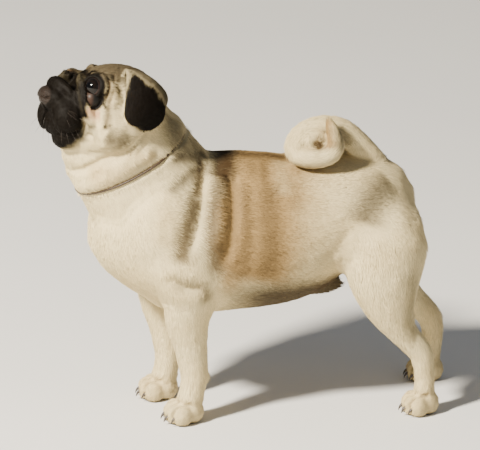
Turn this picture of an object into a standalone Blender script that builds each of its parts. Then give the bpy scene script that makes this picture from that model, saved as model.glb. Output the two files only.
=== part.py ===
"""A pug standing still with its head raised, modelled at life size.

Units are metres. The dog faces -X, its left side is at -Y and the floor is z = 0.
The whole body is joined from lofts and ellipsoids, remeshed, creased and then parted into nodes.
"""
import math
from typing import NamedTuple

import bmesh
import bpy
import numpy as np
from mathutils import Matrix, Vector
from mathutils.bvhtree import BVHTree
from mathutils.kdtree import KDTree

# Driving dimensions
WITHERS_HEIGHT = 0.286
CHEST_WIDTH = 0.172
FORE_TRACK = 0.088
HIND_TRACK = 0.116
FAR_FOREFOOT_AHEAD = 0.013
FAR_HINDFOOT_BEHIND = 0.026
FAR_HOCK_BEHIND = 0.035
GAP = 0.0003
CORNER_GAP = 0.0005
SLIVER = 2e-5
VOLUME_MATCH = 1e-5
SHARP_ANGLE = math.radians(42)
FRAME_SHIFT = Vector((-0.0045, 0.0, 0.0))

# Head: its origin lies between the cheeks, below the crown
HEAD_ORIGIN = Vector((-0.1427, -0.0135, 0.3607))
HEAD_PITCH = math.radians(8)
HEAD_TURN = math.radians(16)
HEAD_TILT = math.radians(11)
EYE_CENTRE = (0.0375, 0.0335, 0.010)
EYE_RADIUS = 0.0118
LID_RADIUS = 0.0107
LID_THICKNESS = 0.0025
LID_FORWARD = 0.0049

# Folds of the face: forwards, left, up and radius. The first lies over the nose, the second beside it.
NOSE_ROLL = [
    (0.0580, 0.0255, -0.0050, 0.0035),
    (0.0625, 0.0200, 0.0040, 0.0055),
    (0.0670, 0.0100, 0.0110, 0.0065),
    (0.0685, 0.0000, 0.0130, 0.0068),
]
SIDE_FOLD = [
    (0.0440, 0.0180, 0.0200, 0.0045),
    (0.0470, 0.0240, 0.0140, 0.0066),
    (0.0495, 0.0290, 0.0040, 0.0074),
    (0.0490, 0.0330, -0.0090, 0.0072),
    (0.0450, 0.0370, -0.0220, 0.0062),
    (0.0400, 0.0390, -0.0330, 0.0042),
]

# A wide crease fades over this share of its length at each end
PATH_FADE = 0.2
FINE_CREASE = 0.0022

# Surface resolution
MASS_VOXEL = 0.0032
MASS_SMOOTHING = 16
SKIN_VOXEL = 0.0021
SKIN_SMOOTHING = 4
BODY_TRIANGLES = 7250
HEAD_DETAIL_SHARE = 0.8
PAW_DETAIL_SHARE = 0.2
BODY_DETAIL_SHARE = 0.005
DETAIL_FACTOR = 0.008

# Tail and collar
TAIL_SIDES = 16
TAIL_SPLITS = (0.0, 0.36, 0.70, 1.0)
COLLAR_RADIUS = 0.0018
COLLAR_PROUD = 0.0011
COLLAR_CENTRE = Vector((-0.122, -0.006, 0.2865))
COLLAR_SLOPE = math.radians(28)
COLLAR_POINTS = 38

COAT_PALE = (0.72, 0.60, 0.44, 1.0)
COAT_FAWN = (0.62, 0.46, 0.28, 1.0)
MASK_BLACK = (0.018, 0.015, 0.014, 1.0)
EYE_BROWN = (0.03, 0.016, 0.01, 1.0)
CLAW_HORN = (0.09, 0.07, 0.06, 1.0)
COLLAR_BROWN = (0.16, 0.085, 0.035, 1.0)


class Station(NamedTuple):
    """One section of a loft: its centre, half width across the dog and half depth in the limb's own plane."""

    x: float
    y: float
    z: float
    side: float
    deep: float


TORSO = [
    Station(-0.163, 0, 0.216, 0.034, 0.030),
    Station(-0.150, 0, 0.214, 0.050, 0.044),
    Station(-0.126, 0, 0.209, 0.066, 0.060),
    Station(-0.098, 0, 0.204, 0.077, 0.074),
    Station(-0.062, 0, WITHERS_HEIGHT - 0.087, CHEST_WIDTH / 2 - 0.002, 0.087),
    Station(-0.018, 0, WITHERS_HEIGHT - 0.087, CHEST_WIDTH / 2, 0.087),
    Station(0.026, 0, 0.199, CHEST_WIDTH / 2 - 0.002, 0.084),
    Station(0.054, 0, 0.203, 0.081, 0.080),
    Station(0.080, 0, 0.211, 0.076, 0.072),
    Station(0.108, 0, 0.2165, 0.072, 0.0645),
    Station(0.140, 0, 0.2135, 0.069, 0.0595),
    Station(0.166, 0, 0.206, 0.060, 0.052),
    Station(0.184, 0, 0.203, 0.040, 0.036),
]
NECK = [
    Station(-0.070, 0.000, 0.205, 0.072, 0.078),
    Station(-0.094, -0.002, 0.242, 0.070, 0.074),
    Station(-0.116, -0.005, 0.277, 0.064, 0.069),
    Station(-0.133, -0.009, 0.308, 0.060, 0.067),
    Station(-0.141, -0.011, 0.338, 0.054, 0.055),
]
# Left legs. A station's y is measured outwards from the foot's own line.
FORELEG = [
    Station(-0.086, 0.006, 0.232, 0.026, 0.040),
    Station(-0.080, 0.010, 0.200, 0.031, 0.044),
    Station(-0.070, 0.013, 0.168, 0.029, 0.038),
    Station(-0.066, 0.009, 0.142, 0.024, 0.030),
    Station(-0.068, 0.005, 0.118, 0.0205, 0.0255),
    Station(-0.066, 0.002, 0.098, 0.0185, 0.0215),
    Station(-0.0635, 0.001, 0.082, 0.0170, 0.0185),
    Station(-0.0610, 0.000, 0.062, 0.0160, 0.0165),
    Station(-0.0600, 0.000, 0.050, 0.0158, 0.0152),
    Station(-0.0620, 0.000, 0.036, 0.0155, 0.0142),
    Station(-0.0660, 0.000, 0.018, 0.0165, 0.0150),
]
HINDLEG = [
    Station(0.150, -0.018, 0.232, 0.030, 0.044),
    Station(0.148, -0.013, 0.205, 0.036, 0.050),
    Station(0.146, -0.007, 0.178, 0.036, 0.047),
    Station(0.146, -0.002, 0.154, 0.032, 0.041),
    Station(0.149, 0.000, 0.132, 0.027, 0.033),
    Station(0.155, 0.001, 0.112, 0.021, 0.0245),
    Station(0.1635, 0.001, 0.095, 0.0160, 0.0175),
    Station(0.1740, 0.000, 0.082, 0.0138, 0.0150),
    Station(0.1845, 0.000, 0.069, 0.0135, 0.0140),
    Station(0.1880, 0.000, 0.055, 0.0128, 0.0125),
    Station(0.1895, 0.000, 0.040, 0.0125, 0.0115),
    Station(0.1885, 0.000, 0.018, 0.0140, 0.0120),
]
TAIL = [
    Station(0.176, 0.000, 0.222, 0.0150, 0.0150),
    Station(0.160, 0.000, 0.246, 0.0145, 0.0145),
    Station(0.142, -0.002, 0.268, 0.0138, 0.0138),
    Station(0.126, -0.005, 0.288, 0.0132, 0.0132),
    Station(0.109, -0.009, 0.3045, 0.0130, 0.0130),
    Station(0.089, -0.014, 0.3120, 0.0127, 0.0127),
    Station(0.070, -0.020, 0.3105, 0.0125, 0.0125),
    Station(0.057, -0.026, 0.3025, 0.0122, 0.0122),
    Station(0.054, -0.031, 0.2930, 0.0118, 0.0118),
    Station(0.062, -0.037, 0.2880, 0.0108, 0.0108),
    Station(0.077, -0.041, 0.2875, 0.0102, 0.0102),
    Station(0.089, -0.043, 0.2920, 0.0096, 0.0096),
    Station(0.094, -0.043, 0.3010, 0.0086, 0.0086),
    Station(0.093, -0.041, 0.3105, 0.0072, 0.0072),
    Station(0.0905, -0.038, 0.3190, 0.0052, 0.0052),
    Station(0.0885, -0.035, 0.3260, 0.0026, 0.0026),
]


def clear_scene():
    """Remove the startup objects and make the collections for parts and for helpers."""
    for obj in list(bpy.data.objects):
        bpy.data.objects.remove(obj)
    parts = bpy.data.collections.new("pug")
    helpers = bpy.data.collections.new("helpers")
    for collection in (parts, helpers):
        bpy.context.scene.collection.children.link(collection)
    return parts, helpers


def add_object(name, mesh, collection):
    obj = bpy.data.objects.new(name, mesh)
    collection.objects.link(obj)
    return obj


def add_helper(name, mesh, collection):
    obj = add_object(name, mesh, collection)
    obj.hide_render = True
    obj.display_type = "WIRE"
    return obj


def spline(values, count):
    """Catmull-Rom points through rows of values, count for each span, both ends included."""
    rows = np.array(values, float)
    padded = np.vstack([2 * rows[0] - rows[1], rows, 2 * rows[-1] - rows[-2]])
    found = []
    for i in range(len(rows) - 1):
        a, b, c, d = padded[i : i + 4]
        for t in np.linspace(0, 1, count, endpoint=False):
            found.append(
                0.5
                * (
                    2 * b
                    + (c - a) * t
                    + (2 * a - 5 * b + 4 * c - d) * t**2
                    + (3 * b - a - 3 * c + d) * t**3
                )
            )
    found.append(rows[-1])
    return np.array(found)


def loft_mesh(name, rows, sides):
    """A closed tube whose rings follow rows of x, y, z, side and deep."""
    centres = rows[:, :3]
    along = np.gradient(centres, axis=0)
    along /= np.linalg.norm(along, axis=1)[:, None]
    bm = bmesh.new()
    rings = []
    for row, tangent in zip(rows, along):
        across = Vector((0, 1, 0)) - Vector(tangent) * tangent[1]
        across.normalize()
        depth = Vector(tangent).cross(across)
        ring = []
        for k in range(sides):
            turn = 2 * math.pi * k / sides
            offset = across * (row[3] * math.cos(turn)) + depth * (row[4] * math.sin(turn))
            ring.append(bm.verts.new(Vector(row[:3]) + offset))
        rings.append(ring)
    for low, high in zip(rings, rings[1:]):
        for k in range(sides):
            m = (k + 1) % sides
            bm.faces.new((low[k], low[m], high[m], high[k]))
    bm.faces.new(rings[0][::-1])
    bm.faces.new(rings[-1])
    bmesh.ops.recalc_face_normals(bm, faces=bm.faces)
    mesh = bpy.data.meshes.new(name)
    bm.to_mesh(mesh)
    bm.free()
    return mesh


def loft(name, stations, collection, sides=28, steps=5, grow=0.0, span=(0.0, 1.0)):
    """Loft through stations, widened by grow, over a share of its length."""
    rows = spline(stations, steps)
    lengths = np.concatenate([[0], np.cumsum(np.linalg.norm(np.diff(rows[:, :3], axis=0), axis=1))])
    first, last = (share * lengths[-1] for share in span)
    inside = rows[(lengths > first + 1e-4) & (lengths < last - 1e-4)]
    ends = [
        np.array([np.interp(at, lengths, rows[:, c]) for c in range(rows.shape[1])])
        for at in (first, last)
    ]
    rows = np.vstack([ends[0], inside, ends[1]])
    rows[:, 3:] += grow
    return add_helper(name, loft_mesh(name, rows, sides), collection)


def ellipsoid(name, centre, radii, collection, frame=None, segments=24):
    """A closed ellipsoid at centre, its radii along the axes of frame."""
    bm = bmesh.new()
    bmesh.ops.create_uvsphere(bm, u_segments=segments, v_segments=segments // 2, radius=1.0)
    place = (frame or Matrix.Identity(4)) @ Matrix.Translation(Vector(centre))
    place = place @ Matrix.Diagonal(Vector((*radii, 1.0)))
    bm.transform(place)
    if place.determinant() < 0:
        bmesh.ops.reverse_faces(bm, faces=bm.faces)
    mesh = bpy.data.meshes.new(name)
    bm.to_mesh(mesh)
    bm.free()
    return add_helper(name, mesh, collection)


def box(name, frame, low, high, collection):
    """A closed box between two corners in the axes of frame."""
    bm = bmesh.new()
    bmesh.ops.create_cube(bm, size=1.0)
    low, high = Vector(low), Vector(high)
    bm.transform(frame @ Matrix.Translation((low + high) / 2) @ Matrix.Diagonal((*(high - low), 1.0)))
    mesh = bpy.data.meshes.new(name)
    bm.to_mesh(mesh)
    bm.free()
    return add_helper(name, mesh, collection)


def evaluated_mesh(obj):
    graph = bpy.context.evaluated_depsgraph_get()
    mesh = bpy.data.meshes.new_from_object(obj.evaluated_get(graph))
    mesh.transform(obj.matrix_world)
    return mesh


def joined(name, objects, collection):
    """One mesh object from several closed ones, which are removed."""
    bm = bmesh.new()
    for obj in objects:
        mesh = evaluated_mesh(obj)
        bm.from_mesh(mesh)
        bpy.data.meshes.remove(mesh)
        bpy.data.objects.remove(obj)
    mesh = bpy.data.meshes.new(name)
    bm.to_mesh(mesh)
    bm.free()
    return add_helper(name, mesh, collection)


def apply_modifiers(obj):
    mesh = evaluated_mesh(obj)
    obj.modifiers.clear()
    obj.data = mesh
    obj.matrix_world = Matrix.Identity(4)
    return obj


def fused(obj, voxel, smoothing):
    """The outer skin of the closed forms in obj, smoothed."""
    remesh = obj.modifiers.new("Skin", "REMESH")
    remesh.mode = "VOXEL"
    remesh.voxel_size = voxel
    smooth = obj.modifiers.new("Soften", "SMOOTH")
    smooth.factor = 0.5
    smooth.iterations = smoothing
    return apply_modifiers(obj)


def head_frame():
    """Axes of the head: forwards, to the dog's left and up, at the head's origin."""
    cp, sp = math.cos(HEAD_PITCH), math.sin(HEAD_PITCH)
    ct, st = math.cos(HEAD_TURN), math.sin(HEAD_TURN)
    forward = Vector((-cp * ct, -cp * st, sp))
    left = Vector((st, -ct, 0.0))
    up = Vector((sp * ct, sp * st, cp))
    frame = Matrix((forward, left, up)).transposed().to_4x4() @ Matrix.Rotation(HEAD_TILT, 4, "X")
    frame.translation = HEAD_ORIGIN
    return frame


def leg_stations(stations, sign, track, shifts):
    """A leg's stations on one side, moved along X by shifts given for heights above the floor."""
    heights, moves = zip(*shifts)
    return [
        Station(
            s.x + float(np.interp(s.z, heights, moves)),
            sign * (track / 2 + s.y),
            s.z,
            s.side,
            s.deep,
        )
        for s in stations
    ]


NO_SHIFT = ((0.0, 0.0), (0.2, 0.0))
FAR_FORE_SHIFT = ((0.0, -FAR_FOREFOOT_AHEAD), (0.13, -FAR_FOREFOOT_AHEAD), (0.21, 0.0))
FAR_HIND_SHIFT = ((0.01, FAR_HINDFOOT_BEHIND), (0.078, FAR_HOCK_BEHIND), (0.21, 0.0))
LEGS = {
    "fore_left": (FORELEG, -1, FORE_TRACK, NO_SHIFT),
    "fore_right": (FORELEG, 1, FORE_TRACK, FAR_FORE_SHIFT),
    "hind_left": (HINDLEG, -1, HIND_TRACK, NO_SHIFT),
    "hind_right": (HINDLEG, 1, HIND_TRACK, FAR_HIND_SHIFT),
}
# Half width and half length of a paw, its centre ahead of the leg's foot
PAWS = {"fore": (0.0205, 0.0148, 0.001), "hind": (0.0185, 0.0138, 0.000)}
TOE_PLACES = ((-0.78, 0.55), (-0.30, 1.0), (0.30, 1.0), (0.78, 0.55))


def paw_frame(key):
    """Axes at the floor under a paw: forwards, to the dog's left and up."""
    stations, sign, track, shift = LEGS[key]
    foot = leg_stations(stations, sign, track, shift)[-1]
    toe_out = math.radians(6) * sign
    frame = Matrix.Rotation(math.pi - toe_out, 4, "Z")
    frame.translation = Vector((foot.x, foot.y, 0))
    return frame


def toes(key):
    """Centre and radii of each toe in the paw's frame."""
    half_width, half_length, ahead = PAWS[key.split("_")[0]]
    found = []
    for across, forward in TOE_PLACES:
        centre = (ahead + half_length * (0.25 + 0.80 * forward), half_width * across, 0.0105)
        found.append((centre, (half_length * 0.72, half_width * 0.385, 0.0118)))
    return found


def body_masses(helpers):
    """The large forms: trunk, neck, skull, cheeks and the upper legs."""
    head = head_frame()
    forms = [
        loft("trunk", TORSO, helpers),
        loft("nape", NECK, helpers),
        ellipsoid("throat", (-0.160, -0.014, 0.302), (0.040, 0.044, 0.030), helpers),
        ellipsoid("cranium", (-0.002, 0, -0.013), (0.055, 0.057, 0.047), helpers, head),
        ellipsoid("jaw", (0.016, 0, -0.042), (0.040, 0.044, 0.026), helpers, head),
        ellipsoid("croup", (0.148, 0, 0.222), (0.040, 0.058, 0.040), helpers),
        ellipsoid("brisket", (-0.070, 0, 0.148), (0.045, 0.044, 0.035), helpers),
        ellipsoid("sheath", (0.080, 0, 0.133), (0.034, 0.010, 0.013), helpers),
    ]
    for sign in (-1, 1):
        forms.append(ellipsoid("cheek", (0.008, sign * 0.034, -0.032), (0.037, 0.026, 0.031), helpers, head))
        forms.append(ellipsoid("shoulder", (-0.092, sign * 0.052, 0.222), (0.046, 0.032, 0.058), helpers))
        forms.append(ellipsoid("flank", (0.092, sign * 0.050, 0.198), (0.036, 0.022, 0.028), helpers))
        forms.append(ellipsoid("brow", (0.025, sign * 0.027, 0.010), (0.020, 0.022, 0.0125), helpers, head))
        orbit = eye_frame(sign, head)
        forms.append(ellipsoid("orbit", (-0.0035, 0, 0), (0.0150, 0.0165, 0.0160), helpers, orbit))
    for key, leg in LEGS.items():
        forms.append(loft("leg", leg_stations(*leg), helpers))
    return forms


def fine_forms(helpers):
    """The forms that keep a crisper edge: muzzle, nose, lids, heels and toes."""
    head = head_frame()
    forms = [
        ellipsoid("muzzle", (0.051, 0, -0.015), (0.0245, 0.028, 0.024), helpers, head),
        ellipsoid("bridge", (0.0715, 0, -0.0040), (0.0130, 0.0190, 0.0145), helpers, head),
        ellipsoid("nose", (0.0795, 0, -0.0010), (0.0085, 0.0140, 0.0105), helpers, head),
        skin_fold("nose_roll", NOSE_ROLL + mirrored_rows(NOSE_ROLL[-2::-1]), head, helpers),
        skin_fold("side_fold", SIDE_FOLD, head, helpers),
        skin_fold("side_fold", mirrored_rows(SIDE_FOLD), head, helpers),
        ellipsoid("lower_lip", (0.0575, 0, -0.0330), (0.0165, 0.0180, 0.0140), helpers, head),
        ellipsoid("chin", (0.0500, 0, -0.0460), (0.0180, 0.0230, 0.0135), helpers, head),
    ]
    for sign in (-1, 1):
        droop = head @ Matrix.Translation((0.0605, sign * 0.0168, -0.0210)) @ Matrix.Rotation(sign * 0.30, 4, "X")
        forms.append(ellipsoid("cushion", (0, 0, 0), (0.0185, 0.0170, 0.0230), helpers, droop))
    for side, sign in (("left", -1), ("right", 1)):
        foot = leg_stations(*LEGS[f"fore_{side}"])[8]
        forms.append(
            ellipsoid("wrist_pad", (foot.x + 0.0115, foot.y, foot.z), (0.0062, 0.0070, 0.0080), helpers)
        )
    for key in LEGS:
        half_width, half_length, ahead = PAWS[key.split("_")[0]]
        frame = paw_frame(key)
        forms.append(
            ellipsoid("heel", (ahead - 0.002, 0, 0.012), (half_length * 1.05, half_width * 0.86, 0.015), helpers, frame)
        )
        for centre, radii in toes(key):
            forms.append(ellipsoid("toe", centre, radii, helpers, frame, 16))
    return forms


def ring_mesh(name, points, radius, sides=6, closed=True):
    """A round section swept along points, joined end to end where closed."""
    centre = points.mean(axis=0)
    widths = np.broadcast_to(radius, len(points))
    bm = bmesh.new()
    rings = []
    ahead = np.roll(points, -1, 0) - np.roll(points, 1, 0)
    if not closed:
        ahead[0], ahead[-1] = points[1] - points[0], points[-1] - points[-2]
    for point, along, width in zip(points, ahead, widths):
        along = Vector(along).normalized()
        out = Vector(point - centre)
        out = (out - along * out.dot(along)).normalized()
        up = along.cross(out)
        ring = []
        for k in range(sides):
            turn = 2 * math.pi * k / sides
            offset = out * math.cos(turn) + up * math.sin(turn)
            ring.append(bm.verts.new(Vector(point) + float(width) * offset))
        rings.append(ring)
    for low, high in zip(rings, rings[1:] + rings[:1] if closed else rings[1:]):
        for k in range(sides):
            m = (k + 1) % sides
            bm.faces.new((low[k], low[m], high[m], high[k]))
    if not closed:
        bm.faces.new(rings[0][::-1])
        bm.faces.new(rings[-1])
    bmesh.ops.recalc_face_normals(bm, faces=bm.faces)
    bmesh.ops.triangulate(bm, faces=bm.faces)
    mesh = bpy.data.meshes.new(name)
    bm.to_mesh(mesh)
    bm.free()
    return mesh


def skin_fold(name, rows, head, helpers):
    """A thick roll of skin along rows given in the head's axes."""
    points = [(*(head @ Vector(row[:3])), row[3]) for row in rows]
    fine = spline(points, 5)
    return add_helper(name, ring_mesh(name, fine[:, :3], fine[:, 3], 12, closed=False), helpers)


def mirrored_rows(rows):
    return [(f, -l, u, thick) for f, l, u, thick in rows]


def eye_frame(sign, head):
    """Axes of an eyeball: its gaze along X, turned outwards and a little up."""
    gaze_out = math.radians(30) * sign
    centre = (EYE_CENTRE[0], sign * EYE_CENTRE[1], EYE_CENTRE[2])
    frame = head @ Matrix.Translation(Vector(centre)) @ Matrix.Rotation(gaze_out, 4, "Z")
    return frame @ Matrix.Rotation(math.radians(-6), 4, "Y")


def lid(sign, head, helpers):
    """The ring of lids round an eyeball."""
    bpy.ops.mesh.primitive_torus_add(
        major_radius=LID_RADIUS,
        minor_radius=LID_THICKNESS,
        major_segments=26,
        minor_segments=8,
    )
    made = bpy.context.object
    made.data.transform(
        eye_frame(sign, head)
        @ Matrix.Translation((LID_FORWARD, 0, 0))
        @ Matrix.Rotation(math.pi / 2, 4, "Y")
    )
    made.data.update()
    ring = add_helper("lid", made.data, helpers)
    bpy.data.objects.remove(made)
    return ring


class Crease(NamedTuple):
    """A line on the skin, pressed in where depth is positive and raised where it is negative."""

    path: tuple
    width: float
    depth: float
    both_sides: bool = True
    on_head: bool = True


# Head paths are forwards, left and up from the head's origin; the others are world points of the left side.
CREASES = [
    # Groove between the fold beside the nose and the eye, and its end on the cheek
    Crease(((0.046, 0.026, 0.014), (0.0465, 0.033, 0.000), (0.045, 0.039, -0.014)), 0.0020, 0.0020),
    Crease(((0.040, 0.042, -0.026), (0.036, 0.044, -0.040), (0.032, 0.044, -0.054)), 0.0030, 0.0022),
    # Frown on the forehead
    Crease(((0.056, 0.0, 0.019), (0.050, 0.0, 0.027), (0.036, 0.0, 0.033)), 0.0024, 0.0026, False),
    Crease(((0.052, 0.008, 0.020), (0.044, 0.010, 0.030), (0.026, 0.014, 0.034)), 0.0036, -0.0024),
    Crease(((0.046, 0.016, 0.022), (0.036, 0.020, 0.030), (0.018, 0.026, 0.032)), 0.0024, 0.0026),
    Crease(((0.044, 0.026, 0.024), (0.034, 0.032, 0.028), (0.014, 0.036, 0.026)), 0.0032, -0.0022),
    # Folds that curve down outside the eye
    Crease(((0.040, 0.034, 0.026), (0.026, 0.048, 0.020), (0.022, 0.053, 0.006), (0.026, 0.053, -0.012)), 0.0034, -0.0028),
    Crease(((0.032, 0.040, 0.028), (0.018, 0.052, 0.020), (0.014, 0.056, 0.004), (0.018, 0.057, -0.018)), 0.0024, 0.0028),
    Crease(((0.006, 0.046, 0.022), (0.000, 0.056, 0.006), (0.002, 0.058, -0.016)), 0.0036, -0.0020),
    # Mouth: the split under the nose, the drooping lips and the line of the lower lip
    Crease(((0.084, 0.0, -0.011), (0.081, 0.0, -0.015), (0.077, 0.0, -0.020)), 0.0016, 0.0032, False),
    Crease(
        ((0.078, 0.004, -0.019), (0.073, 0.013, -0.030), (0.063, 0.026, -0.041), (0.046, 0.038, -0.044)),
        0.0019, 0.0038,
    ),
    # Nostrils
    Crease(((0.086, 0.0045, -0.0035), (0.084, 0.0075, -0.0050), (0.0815, 0.0108, -0.0035)), 0.0014, 0.0036),
    # Roll of skin over the collar and the folds of throat and shoulder
    Crease(
        ((-0.100, -0.066, 0.318), (-0.130, -0.064, 0.300), (-0.165, -0.045, 0.276), (-0.186, -0.012, 0.262)),
        0.0085, -0.0050, True, False,
    ),
    Crease(
        ((-0.112, -0.066, 0.340), (-0.142, -0.064, 0.318), (-0.172, -0.045, 0.294), (-0.190, -0.012, 0.280)),
        0.0040, 0.0032, True, False,
    ),
    Crease(
        ((-0.032, -0.040, 0.280), (-0.036, -0.066, 0.258), (-0.040, -0.080, 0.225), (-0.052, -0.086, 0.190)),
        0.0080, -0.0055, True, False,
    ),
    Crease(
        ((-0.046, -0.040, 0.282), (-0.052, -0.068, 0.256), (-0.062, -0.082, 0.222), (-0.076, -0.084, 0.192)),
        0.0055, 0.0045, True, False,
    ),
    Crease(
        ((-0.018, -0.040, 0.282), (-0.020, -0.070, 0.256), (-0.026, -0.086, 0.215), (-0.036, -0.086, 0.175)),
        0.0060, 0.0042, True, False,
    ),
    # Armpit and the hollow between hip and buttock
    Crease(((-0.100, -0.080, 0.176), (-0.078, -0.088, 0.160), (-0.052, -0.086, 0.158)), 0.0080, 0.0055, True, False),
    Crease(((0.150, -0.060, 0.248), (0.140, -0.072, 0.226), (0.130, -0.078, 0.206)), 0.0160, 0.0028, True, False),
    # Breast line between the forelegs
    Crease(((-0.166, 0.0, 0.214), (-0.150, 0.0, 0.170), (-0.118, 0.0, 0.132)), 0.0060, 0.0035, False, False),
]


def distance_to_path(points, path):
    """Distance from each point to a polyline, and how fully the line acts there, fading to its ends."""
    best = np.full(len(points), np.inf)
    along = np.zeros(len(points))
    for i, (a, b) in enumerate(zip(path, path[1:])):
        span = b - a
        share = np.clip(((points - a) @ span) / max(span @ span, 1e-12), 0, 1)
        away = np.linalg.norm(points - (a + share[:, None] * span), axis=1)
        closer = away < best
        best[closer] = away[closer]
        along[closer] = (i + share[closer]) / (len(path) - 1)
    fade = np.clip(np.minimum(along, 1 - along) / PATH_FADE, 0, 1)
    return best, fade * fade * (3 - 2 * fade)


def crease_skin(obj):
    """Press and raise every crease on the skin, each path first drawn onto it."""
    mesh = obj.data
    head = head_frame()
    tree = BVHTree.FromObject(obj, bpy.context.evaluated_depsgraph_get())
    points = np.empty(len(mesh.vertices) * 3)
    mesh.vertices.foreach_get("co", points)
    points = points.reshape(-1, 3)
    normals = np.array([v.normal[:] for v in mesh.vertices])
    move = np.zeros(len(points))
    for crease in CREASES:
        for sign in (-1, 1) if crease.both_sides else (1,):
            if crease.on_head:
                corners = [head @ Vector((f, sign * l, u)) for f, l, u in crease.path]
            else:
                corners = [Vector((x, sign * y, z)) for x, y, z in crease.path]
            fine = spline([tuple(c) for c in corners], 8)
            path = np.array([tree.find_nearest(Vector(p))[0][:] for p in fine])
            near, fade = distance_to_path(points, path)
            if not crease.both_sides or crease.width < FINE_CREASE:
                fade = 1.0
            move -= crease.depth * fade * np.exp(-((near / crease.width) ** 2))
    points += normals * move[:, None]
    mesh.vertices.foreach_set("co", points.ravel())
    mesh.update()


def thin_out(obj, triangles):
    """Fewer triangles, with the face and the feet keeping more than their share."""
    mesh = obj.data
    weights = obj.vertex_groups.new(name="keep_fine")
    centre = head_frame() @ Vector((0.045, 0, -0.005))
    reach = 0.068
    for vertex in mesh.vertices:
        away = (vertex.co - centre).length / reach
        share = max(BODY_DETAIL_SHARE, HEAD_DETAIL_SHARE * (1 - away**2))
        if vertex.co.z < (0.062 if vertex.co.x < 0 else 0.034):
            share = PAW_DETAIL_SHARE
        weights.add([vertex.index], share, "REPLACE")
    count = sum(len(p.vertices) - 2 for p in mesh.polygons)
    decimate = obj.modifiers.new("Thin", "DECIMATE")
    decimate.ratio = triangles / count
    decimate.use_collapse_triangulate = True
    decimate.vertex_group = weights.name
    decimate.invert_vertex_group = True
    decimate.vertex_group_factor = DETAIL_FACTOR
    return apply_modifiers(obj)


def whole_body(helpers):
    """The dog's one skin, still undivided."""
    rough = fused(joined("masses", body_masses(helpers), helpers), MASS_VOXEL, MASS_SMOOTHING)
    body = fused(joined("body", [rough, *fine_forms(helpers)], helpers), SKIN_VOXEL, SKIN_SMOOTHING)
    crease_skin(body)
    return thin_out(body, BODY_TRIANGLES)


def largest_piece(mesh):
    """Clear slivers and keep the largest closed surface."""
    bm = bmesh.new()
    bm.from_mesh(mesh)
    bmesh.ops.dissolve_degenerate(bm, dist=SLIVER, edges=bm.edges)
    bmesh.ops.triangulate(bm, faces=bm.faces)
    bm.faces.ensure_lookup_table()
    seen, shells = set(), []
    for face in bm.faces:
        if face.index in seen:
            continue
        shell, stack = [], [face]
        seen.add(face.index)
        while stack:
            at = stack.pop()
            shell.append(at)
            for edge in at.edges:
                for other in edge.link_faces if len(edge.link_faces) == 2 else ():
                    if other.index not in seen:
                        seen.add(other.index)
                        stack.append(other)
        shells.append(shell)

    def extent(shell):
        corners = [v.co for f in shell for v in f.verts]
        low = Vector([min(c[i] for c in corners) for i in range(3)])
        high = Vector([max(c[i] for c in corners) for i in range(3)])
        return (high - low).length

    keep = max(shells, key=extent)
    kept = set(f.index for f in keep)
    bmesh.ops.delete(bm, geom=[f for f in bm.faces if f.index not in kept], context="FACES")
    loose = [v for v in bm.verts if not v.link_faces]
    bmesh.ops.delete(bm, geom=loose, context="VERTS")
    bmesh.ops.triangulate(bm, faces=bm.faces)
    bm.to_mesh(mesh)
    bm.free()


def volume(mesh):
    bm = bmesh.new()
    bm.from_mesh(mesh)
    found = bm.calc_volume()
    bm.free()
    return found


def cut(obj, operation, tool):
    """Boolean obj with tool and keep its largest closed surface.

    The manifold result is taken where the exact one is empty or differs from it in volume.
    """
    whole = obj.data.copy()
    results = []
    for solver in ("EXACT", "MANIFOLD"):
        obj.data = whole.copy()
        boolean = obj.modifiers.new("Cut", "BOOLEAN")
        boolean.operation = operation
        boolean.solver = solver
        boolean.object = tool
        results.append(apply_modifiers(obj).data)
    exact, manifold = results
    agree = abs(volume(exact) - volume(manifold)) < VOLUME_MATCH * volume(whole)
    obj.data = exact if agree or not len(manifold.polygons) else manifold
    largest_piece(obj.data)
    return obj


def copy_of(obj, name, collection):
    return add_helper(name, obj.data.copy(), collection)


def grown_copy(obj, distance, collection):
    """A copy with every corner moved out along its normal."""
    grown = copy_of(obj, "grown", collection)
    for vertex, normal in zip(grown.data.vertices, [v.normal.copy() for v in grown.data.vertices]):
        vertex.co += normal * distance
    return grown


def slope_frame(point, slope):
    """A frame at point whose Z axis leans towards -X by slope."""
    frame = Matrix.Rotation(-slope, 4, "Y")
    frame.translation = point
    return frame


REACH = 0.6
HEAD_CUT = (Vector((-0.138, 0, 0.311)), math.radians(20))
NECK_CUT = (Vector((-0.116, 0, 0.252)), math.radians(31))
LEG_WIDENING = {"fore": 0.0055, "hind": 0.0035}
LEG_TOP_SHARE = {"fore": 0.16, "hind": 0.10}
PAW_CUT_HEIGHT = {"fore": 0.030, "hind": 0.030}


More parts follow.
